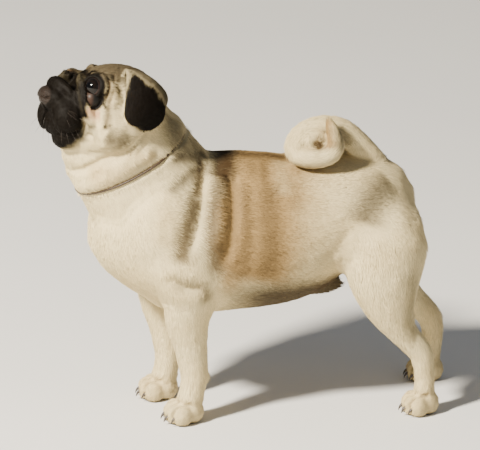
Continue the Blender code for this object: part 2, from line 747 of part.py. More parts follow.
def part_body(body, helpers):
    """Divide the body into head, neck, torso, legs and paws, each a gap apart."""
    nodes = {}
    head_plane = slope_frame(*HEAD_CUT)
    neck_plane = slope_frame(*NECK_CUT)
    far = (-REACH, -REACH), (REACH, REACH)
    above_head = box("above_head", head_plane, (*far[0], 0), (*far[1], REACH), helpers)
    below_head = box("below_head", head_plane, (*far[0], -REACH), (*far[1], -GAP), helpers)
    above_neck = box("above_neck", neck_plane, (*far[0], 0), (*far[1], REACH), helpers)
    below_neck = box("below_neck", neck_plane, (*far[0], -REACH), (*far[1], -GAP), helpers)
    above_floor = box("above_floor", Matrix.Identity(4), (*far[0], 0), (*far[1], REACH), helpers)
    cut(body, "INTERSECT", above_floor)
    nodes["head"] = cut(copy_of(body, "head", helpers), "INTERSECT", above_head)
    neck = cut(copy_of(body, "neck", helpers), "INTERSECT", below_head)
    nodes["neck"] = cut(neck, "INTERSECT", above_neck)
    torso = cut(copy_of(body, "torso", helpers), "INTERSECT", below_neck)
    for key, leg in LEGS.items():
        kind = key.split("_")[0]
        stations = leg_stations(*leg)
        stations.append(stations[-1]._replace(z=-0.02, side=0.040, deep=0.060))
        stations[-2] = stations[-2]._replace(side=0.034, deep=0.052)
        wide = LEG_WIDENING[kind]
        span = (LEG_TOP_SHARE[kind], 1.0)
        inner = loft(f"{key}_cut", stations, helpers, 16, 2, grow=wide, span=span)
        outer = grown_copy(inner, CORNER_GAP, helpers)
        whole = cut(copy_of(torso, key, helpers), "INTERSECT", inner)
        cut(torso, "DIFFERENCE", outer)
        height = PAW_CUT_HEIGHT[kind]
        low = box("paw_cut", Matrix.Identity(4), (*far[0], -0.1), (*far[1], height), helpers)
        high = box("leg_cut", Matrix.Identity(4), (*far[0], height + GAP), (*far[1], REACH), helpers)
        nodes[f"{key}_paw"] = cut(copy_of(whole, f"{key}_paw", helpers), "INTERSECT", low)
        nodes[f"{key}_leg"] = cut(whole, "INTERSECT", high)
    nodes["torso"] = torso
    return nodes


def add_tail(nodes, helpers):
    """The tail in three lengths, its root set into the rump."""
    names = ("tail_base", "tail_curl", "tail_tip")
    for name, start, end in zip(names, TAIL_SPLITS, TAIL_SPLITS[1:]):
        nodes[name] = loft(name, TAIL, helpers, TAIL_SIDES, 2, span=(start, end))
        largest_piece(nodes[name].data)
    for before, after in zip(names, names[1:]):
        cut(nodes[after], "DIFFERENCE", grown_copy(nodes[before], CORNER_GAP, helpers))
    cut(nodes["torso"], "DIFFERENCE", grown_copy(nodes["tail_base"], CORNER_GAP, helpers))


def add_eyes(nodes, helpers):
    """Eyeballs in their sockets, each within its ring of lids."""
    head = head_frame()
    for side, sign in (("left", 1), ("right", -1)):
        frame = eye_frame(sign, head)
        radii = (EYE_RADIUS,) * 3
        nodes[f"eye_{side}"] = ellipsoid(f"eye_{side}", (0, 0, 0), radii, helpers, frame, 16)
        largest_piece(nodes[f"eye_{side}"].data)
        cut(nodes["head"], "UNION", lid(sign, head, helpers))
        socket = ellipsoid("socket", (0, 0, 0), (EYE_RADIUS + GAP,) * 3, helpers, frame, 16)
        cut(nodes["head"], "DIFFERENCE", socket)


# Each row of the ear, from its root over the fold to its tip: its front and back ends
# (forwards, left, up from the head's origin) and how far its middle rises
EAR_ROWS = (
    (0.0060, 0.0290, 0.0120, -0.0220, 0.0330, 0.0000, 0.000),
    (0.0075, 0.0390, 0.0235, -0.0290, 0.0450, 0.0055, 0.003),
    (0.0070, 0.0475, 0.0290, -0.0345, 0.0545, 0.0075, 0.005),
    (0.0085, 0.0550, 0.0240, -0.0370, 0.0615, 0.0020, 0.005),
    (0.0110, 0.0605, 0.0110, -0.0350, 0.0650, -0.0070, 0.003),
    (0.0135, 0.0635, -0.0025, -0.0290, 0.0670, -0.0150, 0.000),
    (0.0150, 0.0645, -0.0145, -0.0210, 0.0670, -0.0210, 0.000),
    (0.0135, 0.0645, -0.0230, -0.0120, 0.0660, -0.0260, -0.001),
    (0.0080, 0.0640, -0.0280, -0.0040, 0.0650, -0.0290, -0.001),
)
EAR_THICKNESS = 0.0036
EAR_CUP = 0.0070


def ear_mesh(name, sign, head, helpers):
    """A folded leaf, its edges bent in towards the head."""
    rows = spline(EAR_ROWS, 2)
    across = 6
    widest = max(np.linalg.norm(row[:3] - row[3:6]) for row in rows)
    bm = bmesh.new()
    grid = []
    for row in rows:
        front, back, rise = row[:3], row[3:6], row[6]
        share = np.linalg.norm(front - back) / widest
        line = []
        for k in range(across + 1):
            w = 2 * k / across - 1
            forward, left, up = (front + back) / 2 + (front - back) / 2 * w
            left -= EAR_CUP * share * w**2
            up += rise * (1 - w**2)
            line.append(bm.verts.new(head @ Vector((forward, sign * left, up))))
        grid.append(line)
    for low, high in zip(grid, grid[1:]):
        for k in range(across):
            bm.faces.new((low[k], low[k + 1], high[k + 1], high[k]))
    mesh = bpy.data.meshes.new(name)
    bm.to_mesh(mesh)
    bm.free()
    ear = add_helper(name, mesh, helpers)
    solid = ear.modifiers.new("Thickness", "SOLIDIFY")
    solid.thickness = EAR_THICKNESS
    solid.offset = 0.0
    solid.use_even_offset = True
    apply_modifiers(ear)
    bm = bmesh.new()
    bm.from_mesh(ear.data)
    bmesh.ops.recalc_face_normals(bm, faces=bm.faces)
    bm.to_mesh(ear.data)
    bm.free()
    return ear


def add_ears(nodes, helpers):
    """Button ears, each root set into a slot in the skull."""
    head = head_frame()
    for side, sign in (("left", 1), ("right", -1)):
        ear = ear_mesh(f"ear_{side}", sign, head, helpers)
        largest_piece(ear.data)
        nodes[f"ear_{side}"] = ear
        cut(nodes["head"], "DIFFERENCE", grown_copy(ear, CORNER_GAP, helpers))


CLAW_RADIUS = 0.0024


def claw_stations(centre, radii, frame):
    """A claw's loft, curving down from inside the toe."""
    x, y, z = centre
    tip = x + radii[0]
    shape = (
        (tip - 0.0045, z - 0.0010, 1.00),
        (tip - 0.0005, z - 0.0016, 0.92),
        (tip + 0.0022, z - 0.0034, 0.68),
        (tip + 0.0036, z - 0.0060, 0.38),
        (tip + 0.0041, z - 0.0080, 0.18),
    )
    found = []
    for forward, height, share in shape:
        place = frame @ Vector((forward, y, height))
        found.append(Station(*place, CLAW_RADIUS * 0.8 * share, CLAW_RADIUS * share))
    return found


def add_claws(nodes, helpers):
    """Four claws a paw, each root set into its toe."""
    for key in LEGS:
        frame = paw_frame(key)
        for number, (centre, radii) in enumerate(toes(key), 1):
            stations = claw_stations(centre, radii, frame)
            name = f"{key}_claw_{number}"
            nodes[name] = loft(name, stations, helpers, 6, 1)
            largest_piece(nodes[name].data)
            cut(nodes[f"{key}_paw"], "DIFFERENCE", grown_copy(nodes[name], CORNER_GAP, helpers))


def collar_path(body):
    """Points where a sloping plane meets the neck's skin, smoothed."""
    tree = BVHTree.FromObject(body, bpy.context.evaluated_depsgraph_get())
    frame = slope_frame(COLLAR_CENTRE, COLLAR_SLOPE)
    points = []
    for k in range(COLLAR_POINTS):
        turn = 2 * math.pi * k / COLLAR_POINTS
        direction = frame.to_3x3() @ Vector((math.cos(turn), math.sin(turn), 0))
        start = COLLAR_CENTRE + direction * 0.2
        hit = tree.ray_cast(start, -direction)[0]
        points.append(np.array(hit))
    points = np.array(points)
    for _ in range(3):
        points = (np.roll(points, 1, 0) + 2 * points + np.roll(points, -1, 0)) / 4
    outwards = points - points.mean(axis=0)
    outwards /= np.linalg.norm(outwards, axis=1)[:, None]
    return points + COLLAR_PROUD * outwards


def add_collar(nodes, path, helpers):
    """A thin slip collar lying in a groove of the neck."""
    nodes["collar"] = add_helper("collar", ring_mesh("collar", path, COLLAR_RADIUS), helpers)
    cut(nodes["neck"], "DIFFERENCE", grown_copy(nodes["collar"], CORNER_GAP, helpers))


def material(name, colour, roughness):
    made = bpy.data.materials.new(name)
    made.use_nodes = True
    shader = made.node_tree.nodes["Principled BSDF"]
    shader.inputs["Base Color"].default_value = colour
    shader.inputs["Roughness"].default_value = roughness
    return made


def finish_nodes(nodes, parts):
    """Give each node its material, its place in the frame and its collection."""
    coat = material("pale_coat", COAT_PALE, 0.9)
    fawn = material("fawn_coat", COAT_FAWN, 0.9)
    black = material("black_velvet", MASK_BLACK, 0.85)
    eye = material("eye", EYE_BROWN, 0.05)
    horn = material("claw", CLAW_HORN, 0.4)
    leather = material("collar_leather", COLLAR_BROWN, 0.6)
    for name, obj in nodes.items():
        obj.data.materials.clear()
        if name.startswith("eye"):
            finish = eye
        elif name.startswith("ear"):
            finish = black
        elif "claw" in name:
            finish = horn
        elif name == "collar":
            finish = leather
        elif name == "torso":
            finish = fawn
        else:
            finish = coat
        obj.data.materials.append(finish)
        obj.data.transform(Matrix.Translation(FRAME_SHIFT))
        obj.data.shade_smooth()
        obj.data.set_sharp_from_angle(angle=SHARP_ANGLE)
        obj.name = name
        obj.hide_render = False
        obj.display_type = "TEXTURED"
        for collection in list(obj.users_collection):
            collection.objects.unlink(obj)
        parts.objects.link(obj)


def main():
    parts, helpers = clear_scene()
    body = whole_body(helpers)
    path = collar_path(body)
    nodes = part_body(body, helpers)
    add_tail(nodes, helpers)
    add_eyes(nodes, helpers)
    add_ears(nodes, helpers)
    add_claws(nodes, helpers)
    add_collar(nodes, path, helpers)
    finish_nodes(nodes, parts)
    for obj in list(helpers.objects):
        bpy.data.objects.remove(obj)
    bpy.data.collections.remove(helpers)


main()
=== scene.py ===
"""Looks of a still, life-size pug: one skin under a short coat, wet eyes, dark claws and a thin collar."""

import logging
import math
from dataclasses import astuple, dataclass, field
from enum import Enum, IntEnum

import bmesh
import bpy
import numpy as np
from mathutils import Matrix, Vector
from mathutils.bvhtree import BVHTree


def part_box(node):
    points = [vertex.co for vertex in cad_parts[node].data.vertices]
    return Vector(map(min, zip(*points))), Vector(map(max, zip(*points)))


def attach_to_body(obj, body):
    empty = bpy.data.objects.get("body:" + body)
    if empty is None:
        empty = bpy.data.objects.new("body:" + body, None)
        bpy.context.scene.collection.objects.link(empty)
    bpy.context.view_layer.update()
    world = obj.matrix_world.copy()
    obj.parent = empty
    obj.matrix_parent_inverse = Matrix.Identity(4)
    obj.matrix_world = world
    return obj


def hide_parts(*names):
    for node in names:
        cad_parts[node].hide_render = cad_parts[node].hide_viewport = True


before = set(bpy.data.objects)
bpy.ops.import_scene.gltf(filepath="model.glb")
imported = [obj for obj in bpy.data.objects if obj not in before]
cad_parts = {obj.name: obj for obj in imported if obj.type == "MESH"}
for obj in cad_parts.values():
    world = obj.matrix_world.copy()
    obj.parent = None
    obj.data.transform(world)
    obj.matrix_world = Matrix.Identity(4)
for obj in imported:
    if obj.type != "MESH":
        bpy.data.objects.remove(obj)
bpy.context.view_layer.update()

LOG = logging.getLogger("pug")
SEED = 20
WELD = 1e-6
TINY = 1e-12
# A millimetre in metres
M = 1e-3
SIDES = (("left", 1), ("right", -1))
Colour = tuple[float, float, float, float]
Point = tuple[float, float, float]
Path = tuple[Point, ...]
Row = tuple[float, ...]
# The two ends of a range, or of a smooth step from 0 to 1
Span = tuple[float, float]


def paint(red: int, green: int, blue: int) -> Colour:
    """A colour in linear light.

    Args:
        red, green, blue: Its display values, 0 to 255.

    Returns:
        The colour with full alpha.
    """
    most, knee, slope, offset, power = 255, 0.04045, 12.92, 0.055, 2.4
    shares = (value / most for value in (red, green, blue))
    channels = [s / slope if s <= knee else ((s + offset) / (1 + offset)) ** power for s in shares]
    return (*channels, 1.0)


def ease(values: np.ndarray, low: float, high: float) -> np.ndarray:
    """A smooth step.

    Args:
        values: Where to read it.
        low, high: Where it leaves 0 and reaches 1.

    Returns:
        Shares from 0 to 1.
    """
    share = np.clip((values - low) / (high - low), 0, 1)
    return share * share * (3 - 2 * share)


def profile(places: np.ndarray, stops: Row, values: Row) -> np.ndarray:
    """A table in millimetres, read for lengths in metres.

    Args:
        places: Where to read it.
        stops, values: The table.

    Returns:
        Lengths in metres.
    """
    return np.interp(places * 1000, stops, values) / 1000


def drift(points: np.ndarray, size: float, seed: int) -> np.ndarray:
    """Smooth, seeded variation over space.

    Args:
        points: Where to read it.
        size: Rough length of one swell in metres.
        seed: Picks the pattern.

    Returns:
        Values of about -1 to 1.
    """
    waves, shortest, longest, gain = 7, 0.6, 1.5, 1.7
    draw = np.random.default_rng(seed)
    total = np.zeros(len(points))
    for _ in range(waves):
        way = draw.normal(size=3)
        way *= 2 * math.pi / size * draw.uniform(shortest, longest) / np.linalg.norm(way)
        total += np.sin(points @ way + draw.uniform(0, 2 * math.pi))
    return total * gain / waves


def curve_through(corners: list, steps: int) -> np.ndarray:
    """A smooth curve through points.

    Args:
        corners: Points or rows of numbers.
        steps: New rows for each stretch.

    Returns:
        The rows of a Catmull-Rom curve.
    """
    rows = np.array(corners, float)
    padded = np.vstack([2 * rows[0] - rows[1], rows, 2 * rows[-1] - rows[-2]])
    made = []
    for i in range(1, len(padded) - 2):
        a, b, c, d = padded[i - 1 : i + 3]
        for t in np.arange(steps) / steps:
            bend = (2 * a - 5 * b + 4 * c - d) * t**2 + (3 * b - a - 3 * c + d) * t**3
            made.append(b + 0.5 * ((c - a) * t + bend))
    made.append(rows[-1])
    return np.array(made)


def near_path(points: np.ndarray, path: np.ndarray) -> tuple[np.ndarray, np.ndarray]:
    """How points lie to a line of straight stretches.

    Args:
        points: The points.
        path: The line's corners.

    Returns:
        The distance to the line, and the share of its length where each point is nearest.
    """
    best = np.full(len(points), np.inf)
    along = np.zeros(len(points))
    for i, (a, b) in enumerate(zip(path, path[1:])):
        span = b - a
        share = np.clip(((points - a) @ span) / max(span @ span, TINY), 0, 1)
        away = np.linalg.norm(points - (a + share[:, None] * span), axis=1)
        closer = away < best
        best[closer] = away[closer]
        along[closer] = (i + share[closer]) / (len(path) - 1)
    return best, along


def unit(rows: np.ndarray) -> np.ndarray:
    """Rows scaled to length 1."""
    return rows / np.maximum(np.linalg.norm(rows, axis=1), TINY)[:, None]


def welded(name: str) -> tuple[np.ndarray, list[list[int]]]:
    """A CAD node's mesh with its split corners joined again.

    Args:
        name: The node.

    Returns:
        Its vertices and its faces.
    """
    bm = bmesh.new()
    bm.from_mesh(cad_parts[name].data)
    bmesh.ops.remove_doubles(bm, verts=bm.verts, dist=WELD)
    points = np.array([v.co[:] for v in bm.verts])
    bm.verts.index_update()
    faces = [[v.index for v in face.verts] for face in bm.faces]
    bm.free()
    return points, faces


def new_object(name: str, data: bpy.types.ID) -> bpy.types.Object:
    """An object of that mesh, lamp or camera in the scene."""
    made = bpy.data.objects.new(name, data)
    bpy.context.scene.collection.objects.link(made)
    return made


def mesh_of(name: str, points: np.ndarray, faces: list | np.ndarray) -> bpy.types.Mesh:
    """A mesh from arrays, shaded smooth.

    Args:
        name: The mesh's name.
        points: Its vertices.
        faces: Its faces as lists of vertex numbers, or one array of triangles.

    Returns:
        The mesh.
    """
    mesh = bpy.data.meshes.new(name)
    if isinstance(faces, np.ndarray):
        count = len(faces)
        mesh.vertices.add(len(points))
        mesh.vertices.foreach_set("co", np.ascontiguousarray(points, np.float32).ravel())
        mesh.loops.add(count * 3)
        mesh.loops.foreach_set("vertex_index", faces.astype(np.int32).ravel())
        mesh.polygons.add(count)
        mesh.polygons.foreach_set("loop_start", np.arange(count, dtype=np.int32) * 3)
        mesh.update(calc_edges=True)
    else:
        mesh.from_pydata([tuple(p) for p in points], [], faces)
    mesh.polygons.foreach_set("use_smooth", np.full(len(mesh.polygons), True))
    return mesh


def globe(rings: int, segments: int) -> tuple[np.ndarray, np.ndarray]:
    """A ball of radius 1 with its poles on the first axis.

    Args:
        rings: Bands from pole to pole.
        segments: Faces round it.

    Returns:
        Its vertices and its triangles.
    """
    turns = np.linspace(0, 2 * math.pi, segments, endpoint=False)
    rows = [[1.0, 0.0, 0.0]]
    for angle in np.linspace(0, math.pi, rings + 1)[1:-1]:
        height, width = math.cos(angle), math.sin(angle)
        rows += [[height, width * math.cos(t), width * math.sin(t)] for t in turns]
    rows.append([-1.0, 0.0, 0.0])
    last = len(rows) - 1
    faces = []
    for j in range(segments):
        k = (j + 1) % segments
        faces.append([0, 1 + j, 1 + k])
        for ring in range(rings - 2):
            a, b = 1 + ring * segments, 1 + (ring + 1) * segments
            faces += [[a + j, b + j, b + k], [a + j, b + k, a + k]]
        a = 1 + (rings - 2) * segments
        faces.append([last, a + k, a + j])
    return np.array(rows), np.array(faces)


def settle(obj: bpy.types.Object) -> bpy.types.Object:
    """Apply an object's modifiers to its mesh.

    Args:
        obj: The object.

    Returns:
        The same object.
    """
    graph = bpy.context.evaluated_depsgraph_get()
    mesh = bpy.data.meshes.new_from_object(obj.evaluated_get(graph))
    obj.modifiers.clear()
    obj.data = mesh
    return obj


def write_values(mesh: bpy.types.Mesh, name: str, values: np.ndarray) -> None:
    """Keep one number or one vector for each vertex as an attribute.

    Args:
        mesh: Where.
        name: The attribute's name.
        values: The numbers, or rows of three.
    """
    vector = values.ndim == 2
    kept = mesh.attributes.new(name, "FLOAT_VECTOR" if vector else "FLOAT", "POINT")
    kept.data.foreach_set("vector" if vector else "value", values.astype(np.float32).ravel())


def tube(
    path: np.ndarray, radii: np.ndarray, sides: int, closed: bool = False
) -> tuple[np.ndarray, list[list[int]]]:
    """A tube round a line.

    Args:
        path: The line's points.
        radii: The radius at each.
        sides: Faces round the tube.
        closed: Whether the line is a ring. An open one gets a cap at each end.

    Returns:
        Its vertices and faces.
    """
    count, upright = len(path), 0.1
    if closed:
        along = unit(np.roll(path, -1, 0) - np.roll(path, 1, 0))
    else:
        along = unit(np.gradient(path, axis=0))
    side = np.cross(along[0], (0.0, 0.0, 1.0))
    if np.linalg.norm(side) < upright:
        side = np.cross(along[0], (1.0, 0.0, 0.0))
    points, faces = [], []
    for k in range(count):
        side = side - along[k] * (side @ along[k])
        side /= np.linalg.norm(side)
        up = np.cross(along[k], side)
        for j in range(sides):
            turn = 2 * math.pi * j / sides
            points.append(path[k] + radii[k] * (math.cos(turn) * side + math.sin(turn) * up))
    for k in range(count if closed else count - 1):
        low, high = k * sides, (k + 1) % count * sides
        for j in range(sides):
            following = (j + 1) % sides
            faces.append([low + j, low + following, high + following, high + j])
    if not closed:
        faces.append(list(range(sides))[::-1])
        faces.append([(count - 1) * sides + j for j in range(sides)])
    return np.array(points), faces


class Region(IntEnum):
    """Parts of the body whose hair differs."""

    FACE = 0
    HEAD = 1
    EAR = 2
    NECK = 3
    TORSO = 4
    TAIL = 5
    FORELEG = 6
    HINDLEG = 7
    PAW = 8

    @classmethod
    def of(cls, node: str) -> "Region":
        """The region a CAD node belongs to."""
        if node.endswith("paw"):
            return cls.PAW
        for start, region in (
            ("head", cls.HEAD), ("ear", cls.EAR), ("neck", cls.NECK),
            ("tail", cls.TAIL), ("fore", cls.FORELEG), ("hind", cls.HINDLEG),
        ):
            if node.startswith(start):
                return region
        return cls.TORSO


class Mark(Enum):
    """Weights that the skin and the coat carry for their colours and for their painted shade."""

    MASK = "mark_mask"
    SADDLE = "mark_saddle"
    # Dark streaks of hair, and painted shade in grooves, creases and under the belly
    STREAK = "mark_streak"
    # Grey hair, and painted shade on the nape, the hip, the shank and round the tail
    SMUT = "mark_smut"
    BLUSH = "mark_blush"
    LEATHER = "mark_leather"


class Place(Enum):
    """What a line on the skin is measured from."""

    HEAD = "forwards, left and up from the head's origin"
    BODY = "backwards, right and up in the body's own axes"


@dataclass(frozen=True)
class Pose:
    """How the head sits, from which every place on the dog is worked out."""

    pitch: float = 8.0
    turn: float = 16.0
    tilt: float = 11.0
    eye_forward: float = 0.0375
    eye_side: float = 0.0335
    eye_height: float = 0.0100
    eye_radius: float = 0.0121
    haw_forward: float = 0.0400
    haw_side: float = 0.0320
    haw_height: float = -0.0026
    haw_radius: float = 0.0109
    gaze_out: float = 30.0
    gaze_up: float = 6.0
    origin_x: float = -0.1427

    def axes(self) -> np.ndarray:
        """Columns that point forwards, to the dog's left and up in the head."""
        cp, sp = math.cos(math.radians(self.pitch)), math.sin(math.radians(self.pitch))
        ct, st = math.cos(math.radians(self.turn)), math.sin(math.radians(self.turn))
        level = np.array([[-cp * ct, -cp * st, sp], [st, -ct, 0.0], [sp * ct, sp * st, cp]]).T
        return level @ np.array(Matrix.Rotation(math.radians(self.tilt), 3, "X"))

    def origin(self) -> np.ndarray:
        """The head's origin, found from the two eyeballs."""
        corners = [np.array(corner) for side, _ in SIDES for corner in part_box(f"eye_{side}")]
        return np.mean(corners, axis=0) - self.axes() @ np.array((self.eye_forward, 0, self.eye_height))

    def eye(self, sign: int) -> np.ndarray:
        """The middle of the left (1) or right (-1) eyeball in the head's axes."""
        return np.array((self.eye_forward, sign * self.eye_side, self.eye_height))

    def haw(self, sign: int) -> np.ndarray:
        """The middle of the fleshy corner under an eyeball, in the head's axes."""
        return np.array((self.haw_forward, sign * self.haw_side, self.haw_height))

    def gap(self, head: np.ndarray, sign: int) -> np.ndarray:
        """How far points in the head's axes lie from an eyeball or the fleshy corner under it.

        Args:
            head: The points.
            sign: 1 for the left eye, -1 for the right.

        Returns:
            Their distances.
        """
        ball = np.linalg.norm(head - self.eye(sign), axis=1) - self.eye_radius
        haw = np.linalg.norm(head - self.haw(sign), axis=1) - self.haw_radius
        return np.minimum(ball, haw)

    def in_head(self, points: np.ndarray) -> np.ndarray:
        """Points measured forwards, left and up from the head's origin."""
        return (points - self.origin()) @ self.axes()

    def from_head(self, points: np.ndarray) -> np.ndarray:
        """The reverse of in_head."""
        return points @ self.axes().T + self.origin()

    def shift(self) -> np.ndarray:
        """From the body's own axes to the frame's."""
        return np.array((self.origin()[0] - self.origin_x, 0.0, 0.0))

    def gaze(self, sign: int) -> np.ndarray:
        """Columns of an eyeball's axes, its gaze first.

        Args:
            sign: 1 for the left eye, -1 for the right.

        Returns:
            A 3 by 3 array.
        """
        turned = Matrix.Rotation(math.radians(self.gaze_out) * sign, 3, "Z")
        raised = Matrix.Rotation(-math.radians(self.gaze_up), 3, "Y")
        return self.axes() @ np.array(turned @ raised)


@dataclass(frozen=True)
class Line:
    """A line on the skin, with its path, width and depth in millimetres.

    A negative depth makes a fold and a positive one a groove. A negative shade takes away from its mark.
    """

    path: Path
    width: float
    depth: float = 0.0
    shade: float = 0.0
    mark: Mark = Mark.STREAK
    place: Place = Place.HEAD
    mirrored: bool = True
    fade: float = 0.12
    # New rows for each stretch of the path
    steps: int = 5
    # How far the line acts, and where a flat shade falls from full strength to none, all in widths
    reach: float = 2.6
    flat_fall: Span = (0.10, 1.95)
    end_rise: Span = (-0.05, 1.0)

    def drawn(self, pose: Pose, tree: BVHTree) -> list[np.ndarray]:
        """The line laid onto the skin, on one side or both.

        Args:
            pose: Turns its places into the frame's.
            tree: The skin.

        Returns:
            One or two rows of points.
        """
        made = []
        for sign in (1, -1) if self.mirrored else (1,):
            corners = np.array(self.path) / 1000
            corners[:, 1] *= sign
            if self.place is Place.HEAD:
                corners = pose.from_head(corners)
            else:
                corners = corners + pose.shift()
            fine = curve_through(list(corners), self.steps)
            made.append(np.array([tree.find_nearest(Vector(p))[0][:] for p in fine]))
        return made

    def weigh(self, points: np.ndarray, path: np.ndarray, flat: bool = False) -> np.ndarray:
        """How strongly the line acts at each point, from 0 to 1.

        Args:
            points: The points.
            path: One of the rows that drawn returns.
            flat: Full strength over most of its width, as for a shade.

        Returns:
            The shares.
        """
        width = self.width * M
        low, high = path.min(0) - self.reach * width, path.max(0) + self.reach * width
        found = np.flatnonzero(((points > low) & (points < high)).all(1))
        weights = np.zeros(len(points))
        if len(found):
            away, along = near_path(points[found], path)
            away = away / width
            weights[found] = 1 - ease(away, *self.flat_fall) if flat else np.exp(-(away**2))
            if self.fade:
                weights[found] *= ease(np.minimum(along, 1 - along) / self.fade, *self.end_rise)
        return weights


